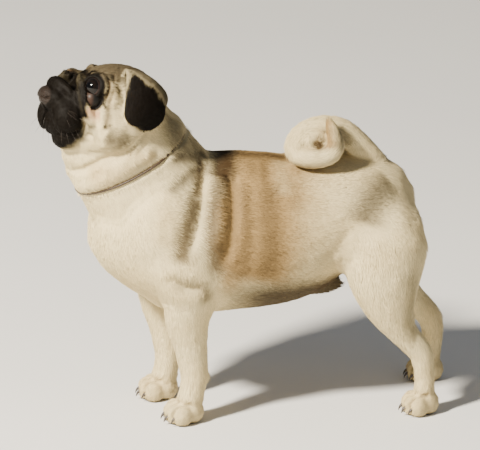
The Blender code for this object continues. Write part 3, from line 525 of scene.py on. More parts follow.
# Lines of the face, measured forwards, left and up from the head's origin
CREASE = (
    (42, 9, 27), (46, 14, 24.5), (48.4, 18.5, 22), (51, 25, 18.3), (53, 29.6, 13.3), (54.3, 32.4, 8),
    (55, 34.2, 2.8), (55, 35.7, -2.5), (55, 36.3, -8), (54.3, 36.6, -13), (53.2, 36, -18.6),
    (51.3, 34, -24), (47.5, 30, -28.5),
)
RING = (
    (43, 32, 24), (38, 36.5, 23.5), (37.6, 41.5, 19.5), (37.7, 45, 15.6), (37.1, 46.9, 7), (35.4, 46, 1),
    (33, 44, -5),
)
LID_GROOVE = ((29.6, 33, 25.5), (29, 45.7, 19), (28, 47.2, 14), (28.6, 47, 8), (29.5, 46.2, 3), (32, 44, -6))
WRINKLE = ((11.6, 23, 27.6), (19.7, 41.5, 17), (24.8, 48, 3), (27, 47.1, -6), (29.6, 50, -17))
FACE_LINES = (
    # Fold beside the nose, and the black groove between it and the eye
    Line(((40, 11, 27), (46, 15, 25), (51, 19.5, 22), (55.5, 24.5, 17), (58, 28, 11)), 4.4, -3.4, fade=0.3),
    Line(((57.5, 27, 11), (58, 29.5, 3), (58, 31, -6), (58, 32.5, -15), (56, 32, -23)), 3.2, -1.2, fade=0.3),
    Line(CREASE, 3.0, 1.3, 1.0, Mark.MASK),
    # Velvet pocket between the fold and the nose
    Line(((70, 15, 14), (67.5, 19, 8), (67, 21, 1), (68, 25, -7), (69, 28, -13)), 6.0, 0.7, 1.0, Mark.MASK),
    # Outer edge of the lids, the dark corner under it with its tail, and the corner over it
    Line(RING, 2.5, 0.9, 1.0, Mark.MASK, fade=0.05),
    Line(((35.5, 45.5, 2), (34, 43.6, -1), (32.6, 43.4, -6)), 2.9, 0.5, 1.0, Mark.MASK),
    Line(((33, 43.4, -5), (31.6, 44.4, -9), (30.6, 45.6, -12.5)), 1.3, 0.4, 1.0, Mark.MASK, fade=0.05),
    Line(((40, 30, 25), (37, 33, 26), (34, 34, 27)), 2.6, 0.4, 0.8, Mark.MASK),
    # Fold outside the lids, a little grey, and the groove behind it
    Line(((36, 38, 25), (33.5, 44, 21), (32.3, 46.5, 15.7), (32, 47.5, 9), (33, 46.8, 2)),
         2.1, -1.3, 0.38, Mark.SMUT),
    Line(LID_GROOVE, 2.1, 1.1, 1.0),
    # Wrinkles between the eye and the ear with painted shade in their grooves, and grey bands
    Line(WRINKLE, 1.7, 0.8, 0.7),
    Line(((20, 30, 27), (24, 42, 20), (24.5, 47.5, 10), (26, 48, 0)), 2.2, -0.6, 0.22, Mark.SMUT),
    Line(((2, 50, 27), (5, 54, 18), (9, 57, 8)), 3.4, -0.4, 0.55, Mark.SMUT),
    Line(((19, 20, 28), (18, 36, 22), (16, 45, 12), (15, 50, 0)), 4.6, 0.2, 0.62, Mark.SMUT),
    Line(((0.5, 13.7, 31.8), (9.5, 35.8, 21.5), (14.7, 44.6, 10.3), (18, 49, -2)), 2.8, 0.7, 0.7, Mark.SMUT),
    Line(((7, 36, 24), (11, 46, 12), (14, 52, -4), (14, 54, -16)), 3.2, -0.7),
    # Dark edge above the eye, the frown over the nose and the wrinkles of the forehead in painted shade
    Line(((46, 22, 24), (44, 30, 24), (40, 36, 24)), 2.0, 0.4, 0.8, Mark.MASK),
    Line(((57, 0, 18), (50, 0, 27), (34, 0, 34)), 2.6, 0.5, 0.75, Mark.MASK, mirrored=False),
    Line(((52, 9, 20), (46, 13, 28), (28, 17, 34)), 2.0, 0.6, 0.6),
    Line(((46, 17, 23), (36, 22, 30), (18, 27, 32)), 2.2, 0.6, 0.55),
    Line(((30, 6, 36), (20, 22, 34), (8, 32, 28)), 1.8, 0.5, 0.45, Mark.SMUT),
    # Streak down the cheek, the shade in front of it, and the two warts that it leads to
    Line(((28.5, 47.8, -8), (30.5, 49.6, -18), (32.4, 51.6, -27), (33, 52.5, -36)), 3.4, 0.0, 0.72),
    Line(((30, 46.5, 2), (28, 48, -5), (27, 49, -14)), 3.8, 0.3, 0.5),
    Line(((22, 47, 8), (21, 50, -4), (20, 52, -14)), 3.0, 0.3, 0.32),
    Line(((33.6, 51, -30), (34.0, 51, -31.2)), 1.5, -0.6, 1.0, Mark.MASK, fade=0.0),
    Line(((29.2, 54, -29), (29.6, 54, -30)), 1.2, -0.5, 0.8, Mark.MASK, fade=0.0),
    # Soft painted shade on the jaw, the warm tone of the throat, and the cheek's folds in painted shade
    Line(((33, 50, -40), (22, 54, -45), (6, 57, -41)), 10.0, 0.0, 0.80, Mark.SMUT),
    Line(((33, 28, -74), (14, 38, -66), (0, 49, -52)), 8.0, 0.0, 0.30, Mark.SADDLE),
    Line(((31, 34, -56), (16, 51, -53), (-5, 56, -38)), 2.4, 0.9, 0.30),
    Line(((40, 20, -60), (22, 40, -62), (0, 54, -52)), 2.6, 0.7, 0.22),
    # Pink skin under the eye
    Line(((51, 39, -13), (44, 41, -18), (36, 45, -18)), 6.6, 0.0, 0.66, Mark.BLUSH),
    # Browner fold on the mask in front of the eye
    Line(((52, 19, 18), (55, 24, 11.4), (56.2, 30, 4), (56.2, 33.4, -3), (55.4, 35, -11), (53.6, 36.6, -19)),
         1.3, 0.0, -0.015, Mark.MASK),
    # Pink skin on the brow
    Line(((44, 22, 26), (40, 27, 27)), 3.4, 0.0, 0.3, Mark.BLUSH),
    # Groove between the jaw and the roll of the throat, darkened with painted shade, and that roll
    Line(((-16, 52, -34), (-10, 51, -44), (-3, 48, -54), (4, 43, -62), (14, 34, -69), (27, 16, -79)),
         1.7, 1.0, 0.6, Mark.SMUT),
    Line(((-12, 52, -42), (-2, 49, -58), (8, 41, -70), (20, 26, -82)), 6.0, -1.0),
    # Crease down the chin
    Line(((62, 14, -46), (58, 10, -53), (52, 6, -58)), 2.0, 0.5, 0.5, Mark.MASK),
    # Edge of the ear's front flap, paler as a painted highlight, and the groove where it lies over the rear
    Line(((-1.7, 66.6, -28), (-7, 67, -24), (-12.2, 66.6, -20), (-18, 66, -15), (-23.5, 65, -9)),
         1.5, -0.9, -0.10, Mark.MASK),
    Line(((-3, 66, -31), (-9, 66, -27), (-14.5, 66, -22.5), (-21, 65, -17), (-26, 64, -11)), 1.6, 0.9),
)


def coat_line(
    path: Path, width: float, depth: float, shade: float, mark: Mark = Mark.STREAK, mirrored: bool = True
) -> Line:
    """A line of the coat, drawn on the left side of the body.

    Args:
        path, width, depth, shade, mark, mirrored: As in Line.

    Returns:
        The line.
    """
    return Line(path, width, depth, shade, mark, Place.BODY, mirrored)


# Lines of the coat, measured backwards, right and up in the body's own axes
COAT_LINES = (
    # Groove in front of the fold of the shoulder, darkened with painted shade, and the fold
    coat_line(((-49, -31, 291), (-56, -51, 275), (-63, -68, 255)), 5.4, 0.8, 0.85),
    coat_line(((-61, -62, 262), (-71, -78, 236), (-77, -82, 215), (-82, -85, 186)), 9.5, 0.7, 0.85),
    coat_line(((-36, -14, 288), (-41, -43, 275), (-46, -60, 258), (-55, -73, 234), (-64, -80, 208),
               (-70, -86, 186)), 5.5, -1.4, 0.0),
    # Dark wedge behind the fold, grey at its top: partly darker hair, partly painted shade of the fold
    coat_line(((-21, 6, 287), (-25, -14, 285), (-29, -34, 278), (-35, -50, 270)), 12.5, 0.2, 1.0, Mark.SMUT),
    coat_line(((-22, 6, 287), (-28, -30, 280), (-37, -56, 267), (-44, -71, 252), (-48, -81, 234),
               (-49, -86, 212), (-45, -85, 190), (-38, -79, 164)), 9.4, 0.15, 0.84),
    coat_line(((-10, -44, 272), (-17, -66, 250), (-22, -81, 222), (-23, -84, 192), (-20, -78, 162)),
              9.0, 0.0, 0.42),
    # Warm tone on the front of the shoulder and on the throat
    coat_line(((-92, -62, 268), (-98, -76, 236), (-100, -80, 206)), 9.0, 0.0, 0.20, Mark.SADDLE),
    coat_line(((-109, -65, 313), (-120, -69, 298)), 7.0, 0.0, 0.45, Mark.SADDLE),
    # Paler band in the saddle
    coat_line(((40, -10, 282), (36, -34, 273), (33, -64, 250)), 9.0, 0.0, -0.25, Mark.SADDLE),
    # Dark core of the wedge, partly painted shade as well
    coat_line(((-17, 4, 287), (-23, -30, 279), (-32, -54, 267)), 7.0, 0.0, 1.0),
    # Warm tone along the roll of the throat
    coat_line(((-178, -44, 288), (-155, -66, 288), (-134, -72, 299), (-117, -69, 314)),
              11.0, 0.0, 0.40, Mark.SADDLE),
    # Streaks in the saddle
    coat_line(((20, -8, 284), (17, -26, 277), (14, -56, 260)), 5.0, 0.2, 0.50),
    coat_line(((5, -8, 284), (3, -26, 279), (1, -48, 268)), 4.4, 0.0, 0.36),
    coat_line(((-8, -50, 265), (-9, -70, 243), (-10, -80, 220), (-12, -84, 190), (-14, -78, 160)),
              6.0, 0.1, 0.52),
    coat_line(((18, -44, 268), (17, -66, 248), (16, -78, 228), (16, -82, 206), (14, -82, 188), (8, -76, 160)),
              11.0, 0.1, 0.54),
    coat_line(((56, -18, 279), (50, -50, 264), (44, -72, 236)), 8.0, 0.0, 0.22),
    # Warmer tan behind the streaks
    coat_line(((64, -24, 276), (56, -56, 258), (48, -76, 226), (40, -80, 196)), 16.0, 0.0, 0.42, Mark.SADDLE),
    # Line of the spine
    coat_line(((-30, 0, 290), (0, 0, 286), (30, 0, 284), (60, 0, 284)), 12.0, 0.0, 0.80, mirrored=False),
    # Grey of the nape: darker hair, and painted shade where the head and ears keep the light off
    coat_line(((-96, -22, 336), (-82, -40, 318), (-66, -50, 296)), 17.0, 0.0, 0.72, Mark.SMUT),
    coat_line(((-70, -20, 306), (-52, -30, 296)), 12.0, 0.0, 0.62, Mark.SMUT),
    # Grey folds from the nape down the side of the neck, partly painted shade, and the painted shade behind
    # the elbow
    coat_line(((-42, -14, 292), (-56, -33, 294), (-70, -48, 299), (-90, -58, 303)),
              8.0, 0.3, 0.92, Mark.SMUT),
    coat_line(((-48, -32, 287), (-63, -51.5, 282), (-78, -63, 275), (-94, -72, 264)),
              5.6, 0.6, 0.80, Mark.SMUT),
    coat_line(((-62, -86, 164), (-54, -82, 153), (-48, -74, 143)), 7.0, 0.3, 0.60),
    # Painted shade on the hip, with the tail's shadow
    coat_line(((158, -36, 258), (146, -46, 254), (134, -58, 246), (125, -66, 234), (118, -72, 216)),
              17.0, 0.0, 0.78, Mark.SMUT),
    # Painted shade under the belly
    coat_line(((60, -28, 152), (82, -28, 154), (98, -20, 160)), 17.0, 0.0, 0.78),
    # Groove along the elbow with painted shade in it, and the crease of the thigh
    coat_line(((-90, -80, 170), (-78, -84, 163), (-66, -86, 158)), 9.0, 0.2, 0.50, Mark.SMUT),
    coat_line(((78, -66, 176), (92, -72, 196), (104, -76, 214)), 5.0, 0.8, 0.15, Mark.SADDLE),
    # Painted shade down the back of the shank to the hock
    coat_line(((164, -74, 172), (172, -73, 140), (171, -73, 112), (176, -70, 86)), 8.0, 0.0, 0.42, Mark.SMUT),
    # Dimple in the curl of the tail, darkened with painted shade, and the painted shade round it
    coat_line(((70, -40, 295), (75, -39, 299), (80, -38, 303)), 6.4, 1.5, 1.0, mirrored=False),
    coat_line(((71, -39, 303), (75, -38.5, 300), (79, -39, 296)), 5.4, 0.0, 0.92, mirrored=False),
    coat_line(((68, -38, 299), (75, -38.5, 299), (82, -40, 299)), 10.5, 0.0, 0.34, mirrored=False),
    # Streak and tan in the curl and down to the tip of the tail
    coat_line(((86.6, -37, 330), (86, -42, 314), (86, -46, 304), (85, -50, 290)),
              5.4, 0.0, 0.24, mirrored=False),
    coat_line(((70, -38, 300), (76, -38, 297)), 11.0, 0.0, 0.62, Mark.SADDLE, mirrored=False),
    coat_line(((86.6, -37, 326), (86, -42, 314), (86, -46, 304), (85, -50, 295)),
              7.6, 0.0, 1.0, Mark.SADDLE, mirrored=False),
    # Painted shade round the outside of the curl and beside the tail's root
    coat_line(((98, -45, 318), (98, -47, 306), (92, -52, 294)), 7.0, 0.0, 0.60, Mark.SMUT, mirrored=False),
    coat_line(((99, -26, 309), (108, -21, 300), (114, -18, 288)), 9.0, 0.0, 0.70, Mark.SMUT, mirrored=False),
)


@dataclass(frozen=True)
class HairStyle:
    """Hair of one region: its length, width and lift, the distance between roots, and the coat's depth."""

    length: float
    width: float
    lift: float
    spacing: float
    depth: float


HAIR = {
    Region.FACE: HairStyle(0.0026, 0.00040, 0.12, 0.00100, 0.0003),
    Region.HEAD: HairStyle(0.0050, 0.00048, 0.10, 0.00135, 0.0008),
    Region.EAR: HairStyle(0.0032, 0.00042, 0.10, 0.00110, 0.0003),
    Region.NECK: HairStyle(0.0058, 0.00054, 0.06, 0.00150, 0.0012),
    Region.TORSO: HairStyle(0.0066, 0.00060, 0.07, 0.00185, 0.0012),
    Region.TAIL: HairStyle(0.0066, 0.00054, 0.13, 0.00118, 0.0000),
    Region.FORELEG: HairStyle(0.0062, 0.00054, 0.09, 0.00162, 0.0008),
    Region.HINDLEG: HairStyle(0.0074, 0.00058, 0.10, 0.00172, 0.0010),
    Region.PAW: HairStyle(0.0034, 0.00044, 0.11, 0.00128, 0.0004),
}


class Shell:
    """A triangle mesh held as arrays."""

    def __init__(self, points: np.ndarray, faces: np.ndarray) -> None:
        """Keep the arrays and work out the edges.

        Args:
            points: Vertices.
            faces: Triangles.
        """
        self.points = points
        self.faces = faces
        pairs = np.vstack([faces[:, [0, 1]], faces[:, [1, 2]], faces[:, [2, 0]]])
        self.edges = np.unique(np.sort(pairs, axis=1), axis=0)
        self.degree = np.bincount(self.edges.ravel(), minlength=len(points)).astype(float)

    @classmethod
    def from_object(cls, obj: bpy.types.Object) -> "Shell":
        """The arrays of an object's mesh, cut into triangles."""
        mesh = obj.data
        points = np.empty(len(mesh.vertices) * 3, np.float32)
        mesh.vertices.foreach_get("co", points)
        mesh.calc_loop_triangles()
        faces = np.empty(len(mesh.loop_triangles) * 3, np.int32)
        mesh.loop_triangles.foreach_get("vertices", faces)
        return cls(points.reshape(-1, 3).astype(float), faces.reshape(-1, 3))

    def crosses(self) -> np.ndarray:
        """Each face's normal, as long as twice its area."""
        a, b, c = (self.points[self.faces[:, k]] for k in range(3))
        return np.cross(b - a, c - a)

    def normals(self) -> np.ndarray:
        """Each vertex's normal."""
        crosses = self.crosses()
        total = np.zeros_like(self.points)
        for axis in range(3):
            for k in range(3):
                total[:, axis] += np.bincount(self.faces[:, k], crosses[:, axis], len(self.points))
        return unit(total)

    def around(self, values: np.ndarray) -> np.ndarray:
        """The mean of each vertex's neighbours.

        Args:
            values: Rows for each vertex.

        Returns:
            Rows of the same shape.
        """
        total = np.zeros_like(values)
        a, b = self.edges.T
        for axis in range(values.shape[1]):
            total[:, axis] = np.bincount(a, values[b, axis], len(values))
            total[:, axis] += np.bincount(b, values[a, axis], len(values))
        return total / np.maximum(self.degree, 1)[:, None]

    def blurred(self, values: np.ndarray, rounds: int) -> np.ndarray:
        """Values drawn halfway towards their neighbours.

        Args:
            values: Rows for each vertex.
            rounds: How often.

        Returns:
            The softened rows.
        """
        for _ in range(rounds):
            values = values + 0.5 * (self.around(values) - values)
        return values

    def tree(self) -> BVHTree:
        """A search tree of the faces."""
        return BVHTree.FromPolygons(self.points.tolist(), self.faces.tolist())


@dataclass(frozen=True)
class Markings:
    """Where the coat's colours and its painted shade lie, as functions of the place on the dog."""

    pose: Pose = Pose()
    # The mask's edge: for each height above the head's origin, how far forwards it begins
    mask_heights: Row = (-70, -60, -53, -47, -40, -31, -29, -24, -18.6, -13, -8, 3, 8, 13, 18, 22, 26)
    mask_starts: Row = (
        82, 56, 50.5, 44.5, 42.5, 43.5, 46.4, 48.6, 49.4, 49.4, 49.2, 49.0, 49.0, 48.8, 47.6, 45.8, 44.5,
    )
    # How soft that edge is, how much softer towards the throat, and how it wanders there
    mask_softness: float = 0.0026
    mask_softer: float = 2.6
    mask_softens: Span = (0.018, 0.038)
    mask_drift: float = 0.0020
    mask_drift_size: float = 0.012
    mask_drifts: Span = (-0.006, 0.020)
    chin: Span = (-0.068, -0.058)
    # On the bridge of the nose the mask begins further back
    bridge_reach: float = 0.017
    bridge_side: Span = (-0.030, -0.016)
    bridge_height: Span = (0.002, 0.012)
    # The fold beside the nose is a paler brown at its top. Its place and size are forwards and to the side.
    ridge_at: tuple[float, float] = (0.0530, 0.022)
    ridge_size: tuple[float, float] = (0.0075, 0.008)
    ridge_height: Span = (0.004, 0.020)
    ridge_paler: float = 0.05
    lid_ring: float = 0.0046
    nose_centre: Point = (0.0840, 0.0, -0.0005)
    nose_size: Point = (0.0085, 0.0145, 0.0110)
    nose_edge: Span = (-1.12, -0.92)
    # The saddle's front edge and its fade, for heights above the ground
    saddle_heights: Row = (150, 177, 210, 236, 265, 285)
    saddle_starts: Row = (-32, -44, -49, -46, -34, -20)
    saddle_edge: float = 0.009
    saddle_fades: Row = (20, 23, 25, 28, 34, 38)
    saddle_fade_ends: Row = (58, 62, 72, 88, 104, 112)
    saddle_rest: float = 0.24
    saddle_drift: float = 0.005
    saddle_drift_size: float = 0.05
    saddle_floor: Span = (0.140, 0.175)
    saddle_rear: Span = (0.10, 0.15)
    # The grey of the crown, in steps by height, with dark streaks at its top
    crown_front: Span = (-0.048, -0.036)
    crown_low: Span = (-0.040, -0.012)
    crown_middle: Span = (-0.016, 0.006)
    crown_high: Span = (0.006, 0.022)
    crown_top: Span = (0.014, 0.028)
    # Painted shade under the belly: below these heights, and behind these places along the body
    belly_height: Span = (-0.168, -0.142)
    belly_front: Span = (-0.05, 0.02)
    # The black of an ear ends forwards at its edge, which is set for heights
    ear_heights: Row = (-30, -12.7, -3.2, 6.9, 16.5, 26)
    ear_edges: Row = (18, 16.4, 15.0, 12.2, 8.8, 5.2)
    ear_edge: Span = (-0.0014, 0.0014)
    ear_front: Span = (-0.004, 0.006)
    ear_front_height: Span = (-0.030, 0.004)
    # Over this line, heights for places forwards, the ear is grey like the skull
    crest_starts: Row = (-33.7, -32, -27.8, -22.5, -16.7, -10, -3, 2, 20)
    crest_heights: Row = (-8.7, -2.3, 4.1, 8.3, 13.8, 18.6, 23.6, 28, 42)
    crest_edge: Span = (-0.0012, 0.0012)
    sole: Span = (-0.0035, -0.0012)
    tip_height: Span = (0.293, 0.303)
    tip_rear: Span = (-0.093, -0.087)
    # Rounds of blur at the edges of regions
    torso_rounds: int = 14
    ear_rounds: int = 2
    tip_rounds: int = 4

    def mask(self, head: np.ndarray) -> np.ndarray:
        """The black mask.

        Args:
            head: Points in the head's axes.

        Returns:
            Shares from 0 to 1.
        """
        forward, left, up = head.T
        start = profile(up, self.mask_heights, self.mask_starts)
        bridge = self.bridge_reach * ease(-np.abs(left), *self.bridge_side) * ease(up, *self.bridge_height)
        start = start - bridge
        wander = self.mask_drift * drift(head, self.mask_drift_size, SEED) * ease(-up, *self.mask_drifts)
        soft = self.mask_softness * (1 + self.mask_softer * ease(-up, *self.mask_softens))
        mask = ease((forward - start + wander) / soft, -1.0, 1.0)
        mask *= ease(up, *self.chin)
        ahead = (forward - self.ridge_at[0]) / self.ridge_size[0]
        aside = (np.abs(left) - self.ridge_at[1]) / self.ridge_size[1]
        ridge = np.exp(-(ahead**2) - aside**2)
        return mask * (1 - self.ridge_paler * ridge * ease(up, *self.ridge_height))

    def lids(self, head: np.ndarray, sign: int) -> np.ndarray:
        """The dark rim of the lids.

        Args:
            head: Points in the head's axes.
            sign: 1 for the left eye, -1 for the right.

        Returns:
            Shares from 0 to 1.
        """
        return ease(-self.pose.gap(head, sign), -self.lid_ring, -0.5 * self.lid_ring)

    def leather(self, head: np.ndarray) -> np.ndarray:
        """The bare nose."""
        away = (head - np.array(self.nose_centre)) / np.array(self.nose_size)
        return ease(-np.linalg.norm(away, axis=1), *self.nose_edge)

    def saddle(self, body: np.ndarray) -> np.ndarray:
        """The warm tan of the back and the side.

        Args:
            body: Points in the body's axes.

        Returns:
            Shares from 0 to 1.
        """
        x, _, z = body.T
        wander = self.saddle_drift * drift(body, self.saddle_drift_size, SEED + 1)
        start = profile(z, self.saddle_heights, self.saddle_starts)
        fade = profile(z, self.saddle_heights, self.saddle_fades)
        end = profile(z, self.saddle_heights, self.saddle_fade_ends)
        tan = ease(x + wander - start, -self.saddle_edge, self.saddle_edge)
        tan *= 1 - (1 - self.saddle_rest) * ease((x + wander - fade) / (end - fade), 0.0, 1.0)
        return tan * ease(z + 2 * wander, *self.saddle_floor) * (1 - ease(x, *self.saddle_rear))

    def read(
        self, skin: Shell, regions: np.ndarray, tips: np.ndarray, tree: BVHTree, lines: tuple[Line, ...]
    ) -> dict[Mark, np.ndarray]:
        """Every mark's weight at the skin's vertices.

        Args:
            skin: The skin.
            regions: Each vertex's region.
            tips: 1 on the last length of the tail.
            tree: The skin's search tree.
            lines: The lines on it.

        Returns:
            Weights from 0 to 1 for each mark.
        """
        points = skin.points
        head = self.pose.in_head(points)
        body = points - self.pose.shift()
        forward, left, up = head.T
        on_head = np.isin(regions, (Region.HEAD, Region.FACE))
        on_paws = regions == Region.PAW

        def share_of(held: np.ndarray, rounds: int) -> np.ndarray:
            """1 where it holds, with a soft edge."""
            return skin.blurred(held.astype(float)[:, None], rounds)[:, 0]

        marks = {mark: np.zeros(len(points)) for mark in Mark}

        def add(mark: Mark, weight: np.ndarray) -> None:
            """Raise a mark to this weight where it is lower."""
            marks[mark] = np.maximum(marks[mark], weight)

        torso = share_of(regions == Region.TORSO, self.torso_rounds)
        ears = share_of(regions == Region.EAR, self.ear_rounds)
        add(Mark.MASK, self.mask(head) * on_head)
        for _, sign in SIDES:
            add(Mark.MASK, self.lids(head, sign) * on_head)
        add(Mark.LEATHER, self.leather(head) * on_head)
        add(Mark.SADDLE, self.saddle(body) * torso)
        crown = ease(-forward, *self.crown_front) * np.maximum(on_head, ears * (left < 0))
        add(Mark.SMUT, crown * (0.48 * ease(up, *self.crown_middle) + 0.47 * ease(up, *self.crown_high)))
        add(Mark.SMUT, 0.22 * crown * ease(up, *self.crown_low))
        add(Mark.STREAK, 0.30 * crown * ease(up, *self.crown_top))
        add(Mark.SADDLE, 0.16 * on_paws)
        # Painted shade under the belly
        belly = torso * ease(-body[:, 2], *self.belly_height) * ease(body[:, 0], *self.belly_front)
        add(Mark.SMUT, 0.95 * belly)
        add(Mark.STREAK, 0.35 * belly)
        for line in lines:
            for path in line.drawn(self.pose, tree) if line.shade else ():
                weight = abs(line.shade) * line.weigh(points, path, flat=True)
                if line.place is Place.HEAD and line.mark is not Mark.MASK:
                    weight *= on_head
                if line.shade < 0:
                    marks[line.mark] *= 1 - weight
                else:
                    add(line.mark, weight)
        edge = profile(up, self.ear_heights, self.ear_edges)
        crest = profile(forward, self.crest_starts, self.crest_heights)
        black = ears * ease(edge - forward, *self.ear_edge)
        under = ease(crest - up, *self.crest_edge)
        front = ears * ease(forward, *self.ear_front) * ease(up, *self.ear_front_height)
        add(Mark.SMUT, 0.62 * front)
        add(Mark.MASK, black * under)
        add(Mark.SMUT, 0.95 * black * (1 - under))
        add(Mark.MASK, 0.9 * on_paws * ease(-points[:, 2], *self.sole))
        tip = share_of(tips, self.tip_rounds) * ease(body[:, 2], *self.tip_height)
        add(Mark.SADDLE, 0.85 * (tip * ease(-body[:, 0], *self.tip_rear)))
        return marks


@dataclass
class Skin:
    """One closed skin in place of the nodes of flesh."""

    pose: Pose = field(default_factory=Pose)
    # The joined net, finer round the face, and how it is softened
    overlap: float = 0.0003
    voxel: float = 0.0015
    face_reach: float = 0.045
    face_centre: Point = (0.052, 0.0, -0.006)
    soften_factor: float = 0.5
    soften_rounds: int = 3
    # Soft forms over the CAD's: the ears' rear lobes and the pad in the tail
    lobe_at: Point = (-0.0150, 0.0605, -0.0190)
    lobe_size: Point = (0.0205, 0.0026, 0.0148)
    lobe_lean: float = 29.0
    pad_at: Point = (0.0730, -0.0325, 0.3030)
    pad_size: Point = (0.0175, 0.0065, 0.0115)
    # How strongly the net is kept when it is thinned, and where the face and the paws end for that
    triangles: int = 186000
    keep_face: float = 0.9
    keep_paw: float = 0.35
    keep_body: float = 0.02
    keep_factor: float = 0.012
    keep_reach: float = 0.075
    paw_height: float = 0.034
    keep_levels: int = 24
    # Where the head counts as face
    face_from: float = 0.028
    face_above: float = -0.062
    # How near to a fleshy corner the skin is drawn in behind it, and how far
    haw_near: float = 0.0009
    haw_inset: float = 0.0008
    # Grooves between the toes, darkened with painted shade, in millimetres from the middle between two claws
    toe_groove: float = 1.9
    toe_shade: float = 0.5
    toe_rise: Path = ((-1, 0, -5), (2, 0, 2), (7, 0, 8), (14, 0, 11), (21, 0, 12))
    # Softening where the legs join the body and in the corner between rump and thigh
    leg_rounds: int = 24
    leg_edge_rounds: int = 10
    leg_height: Span = (0.150, 0.190)
    leg_gain: float = 4.4
    seam_rounds: int = 70
    rump_at: Point = (0.1800, 0.0480, 0.2400)
    rump_reach: float = 0.034
    # Blur of the hair's values between regions, and where the lids keep their place
    hair_rounds: int = 8
    lid_rise: Span = (-0.0052, -0.0030)
    # Made by build: the CAD node of each cast face, then the skin and what its vertices carry
    owner: list[str] = field(init=False, default_factory=list)
    shell: Shell = field(init=False)
    tree: BVHTree = field(init=False)
    regions: np.ndarray = field(init=False)
    tips: np.ndarray = field(init=False)
    hair: np.ndarray = field(init=False)
    lines: tuple[Line, ...] = field(init=False)
    marks: dict[Mark, np.ndarray] = field(init=False)

    def flesh(self) -> list[str]:
        """The CAD nodes that the skin stands for."""
        others = ("claw", "eye", "collar")
        return [name for name in sorted(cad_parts) if not any(word in name for word in others)]

    def cast(self) -> bpy.types.Object:
        """The flesh nodes in one mesh, each grown a little so that they meet."""
        points, faces = [], []
        start = 0
        for name in self.flesh():
            own, own_faces = welded(name)
            fans = [[f[0], f[k], f[k + 1]] for f in own_faces for k in range(1, len(f) - 1)]
            shell = Shell(own, np.array(fans))
            points.append(own + shell.normals() * self.overlap)
            faces.append(shell.faces + start)
            self.owner += [name] * len(shell.faces)
            start += len(own)
        for name, centre, axes, sizes in self.extra_forms():
            ball, ball_faces = globe(12, 20)
            points.append(centre + (ball * sizes) @ axes.T)
            faces.append(ball_faces + start)
            self.owner += [name] * len(ball_faces)
            start += len(ball)
        return new_object("cast", mesh_of("cast", np.vstack(points), np.vstack(faces)))

    def extra_forms(self) -> list[tuple[str, np.ndarray, np.ndarray, np.ndarray]]:
        """Soft forms over the CAD's: the rear lobe of each ear, and the pad that closes the curl of the tail.

        Returns:
            For each its node, middle, axes and half sizes.
        """
        forms = []
        for side, sign in SIDES:
            lean = np.array(Matrix.Rotation(math.radians(self.lobe_lean), 3, "Y"))
            centre = self.pose.from_head(np.array([self.lobe_at]) * (1, sign, 1))[0]
            forms.append((f"ear_{side}", centre, self.pose.axes() @ lean, np.array(self.lobe_size)))
        pad = np.array(self.pad_at) + self.pose.shift()
        return forms + [("tail_curl", pad, np.eye(3), np.array(self.pad_size))]

    def carve_haws(self, shell: Shell) -> None:
        """Draw the skin back from the fleshy corner under each eye."""
        head = self.pose.in_head(shell.points)
        for _, sign in SIDES:
            away = head - self.pose.haw(sign)
            far = np.linalg.norm(away, axis=1)
            front = away[:, 0] * 0.5 + away[:, 1] * sign * 0.87 > 0
            near = front & (far < self.pose.haw_radius + self.haw_near)
            nearer = ((self.pose.haw_radius - self.haw_inset) / far[near])[:, None]
            head[near] = self.pose.haw(sign) + away[near] * nearer
        shell.points = self.pose.from_head(head)

    def refine_face(self, obj: bpy.types.Object) -> None:
        """Split the faces round the muzzle and the eyes once."""
        bm = bmesh.new()
        bm.from_mesh(obj.data)
        centre = Vector(self.pose.from_head(np.array([self.face_centre]))[0])
        edges = [e for e in bm.edges if (e.verts[0].co - centre).length < self.face_reach]
        bmesh.ops.subdivide_edges(bm, edges=edges, cuts=1, use_grid_fill=True)
        bmesh.ops.triangulate(bm, faces=[f for f in bm.faces if len(f.verts) > 4])
        bm.to_mesh(obj.data)
        bm.free()

    def toe_lines(self) -> list[Line]:
        """The grooves between the toes with painted shade in them, each found from the claws beside it."""
        made = []
        for leg in ("fore_left", "fore_right", "hind_left", "hind_right"):
            boxes = [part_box(f"{leg}_claw_{number}") for number in (1, 2, 3, 4)]
            roots = [np.array((high[0], (low[1] + high[1]) / 2, high[2])) for low, high in boxes]
            for one, other in zip(roots, roots[1:]):
                start = ((one + other) / 2 - self.pose.shift()) * 1000
                path = tuple(tuple(start + np.array(step)) for step in self.toe_rise)
                made.append(coat_line(path, self.toe_groove, self.toe_groove, self.toe_shade, mirrored=False))
        return made

    def soften_seams(self, shell: Shell) -> None:
        """Let the thighs and shoulders run into the body without a step."""
        legs = np.isin(self.regions, (Region.HINDLEG, Region.FORELEG)).astype(float)
        share = shell.blurred(legs[:, None], self.leg_rounds)[:, 0]
        high = ease(shell.points[:, 2], *self.leg_height)
        weight = np.clip(self.leg_gain * share * (1 - share), 0, 1) * high
        weight = shell.blurred(weight[:, None], self.leg_edge_rounds)
        self.soften(shell, weight, self.seam_rounds)
        # The corner between rump and thigh
        aside = np.abs(shell.points - self.pose.shift() - (self.rump_at[0], 0, self.rump_at[2]))
        aside[:, 1] = np.abs(np.abs(shell.points[:, 1]) - self.rump_at[1])
        near = np.exp(-((np.linalg.norm(aside, axis=1) / self.rump_reach) ** 2))
        near = (near * (self.regions != Region.TAIL))[:, None]
        self.soften(shell, near, 3 * self.seam_rounds)

    def soften(self, shell: Shell, weight: np.ndarray, rounds: int) -> None:
        """Blur the skin's form by each vertex's weight."""
        shell.points = shell.points + weight * (shell.blurred(shell.points, rounds) - shell.points)

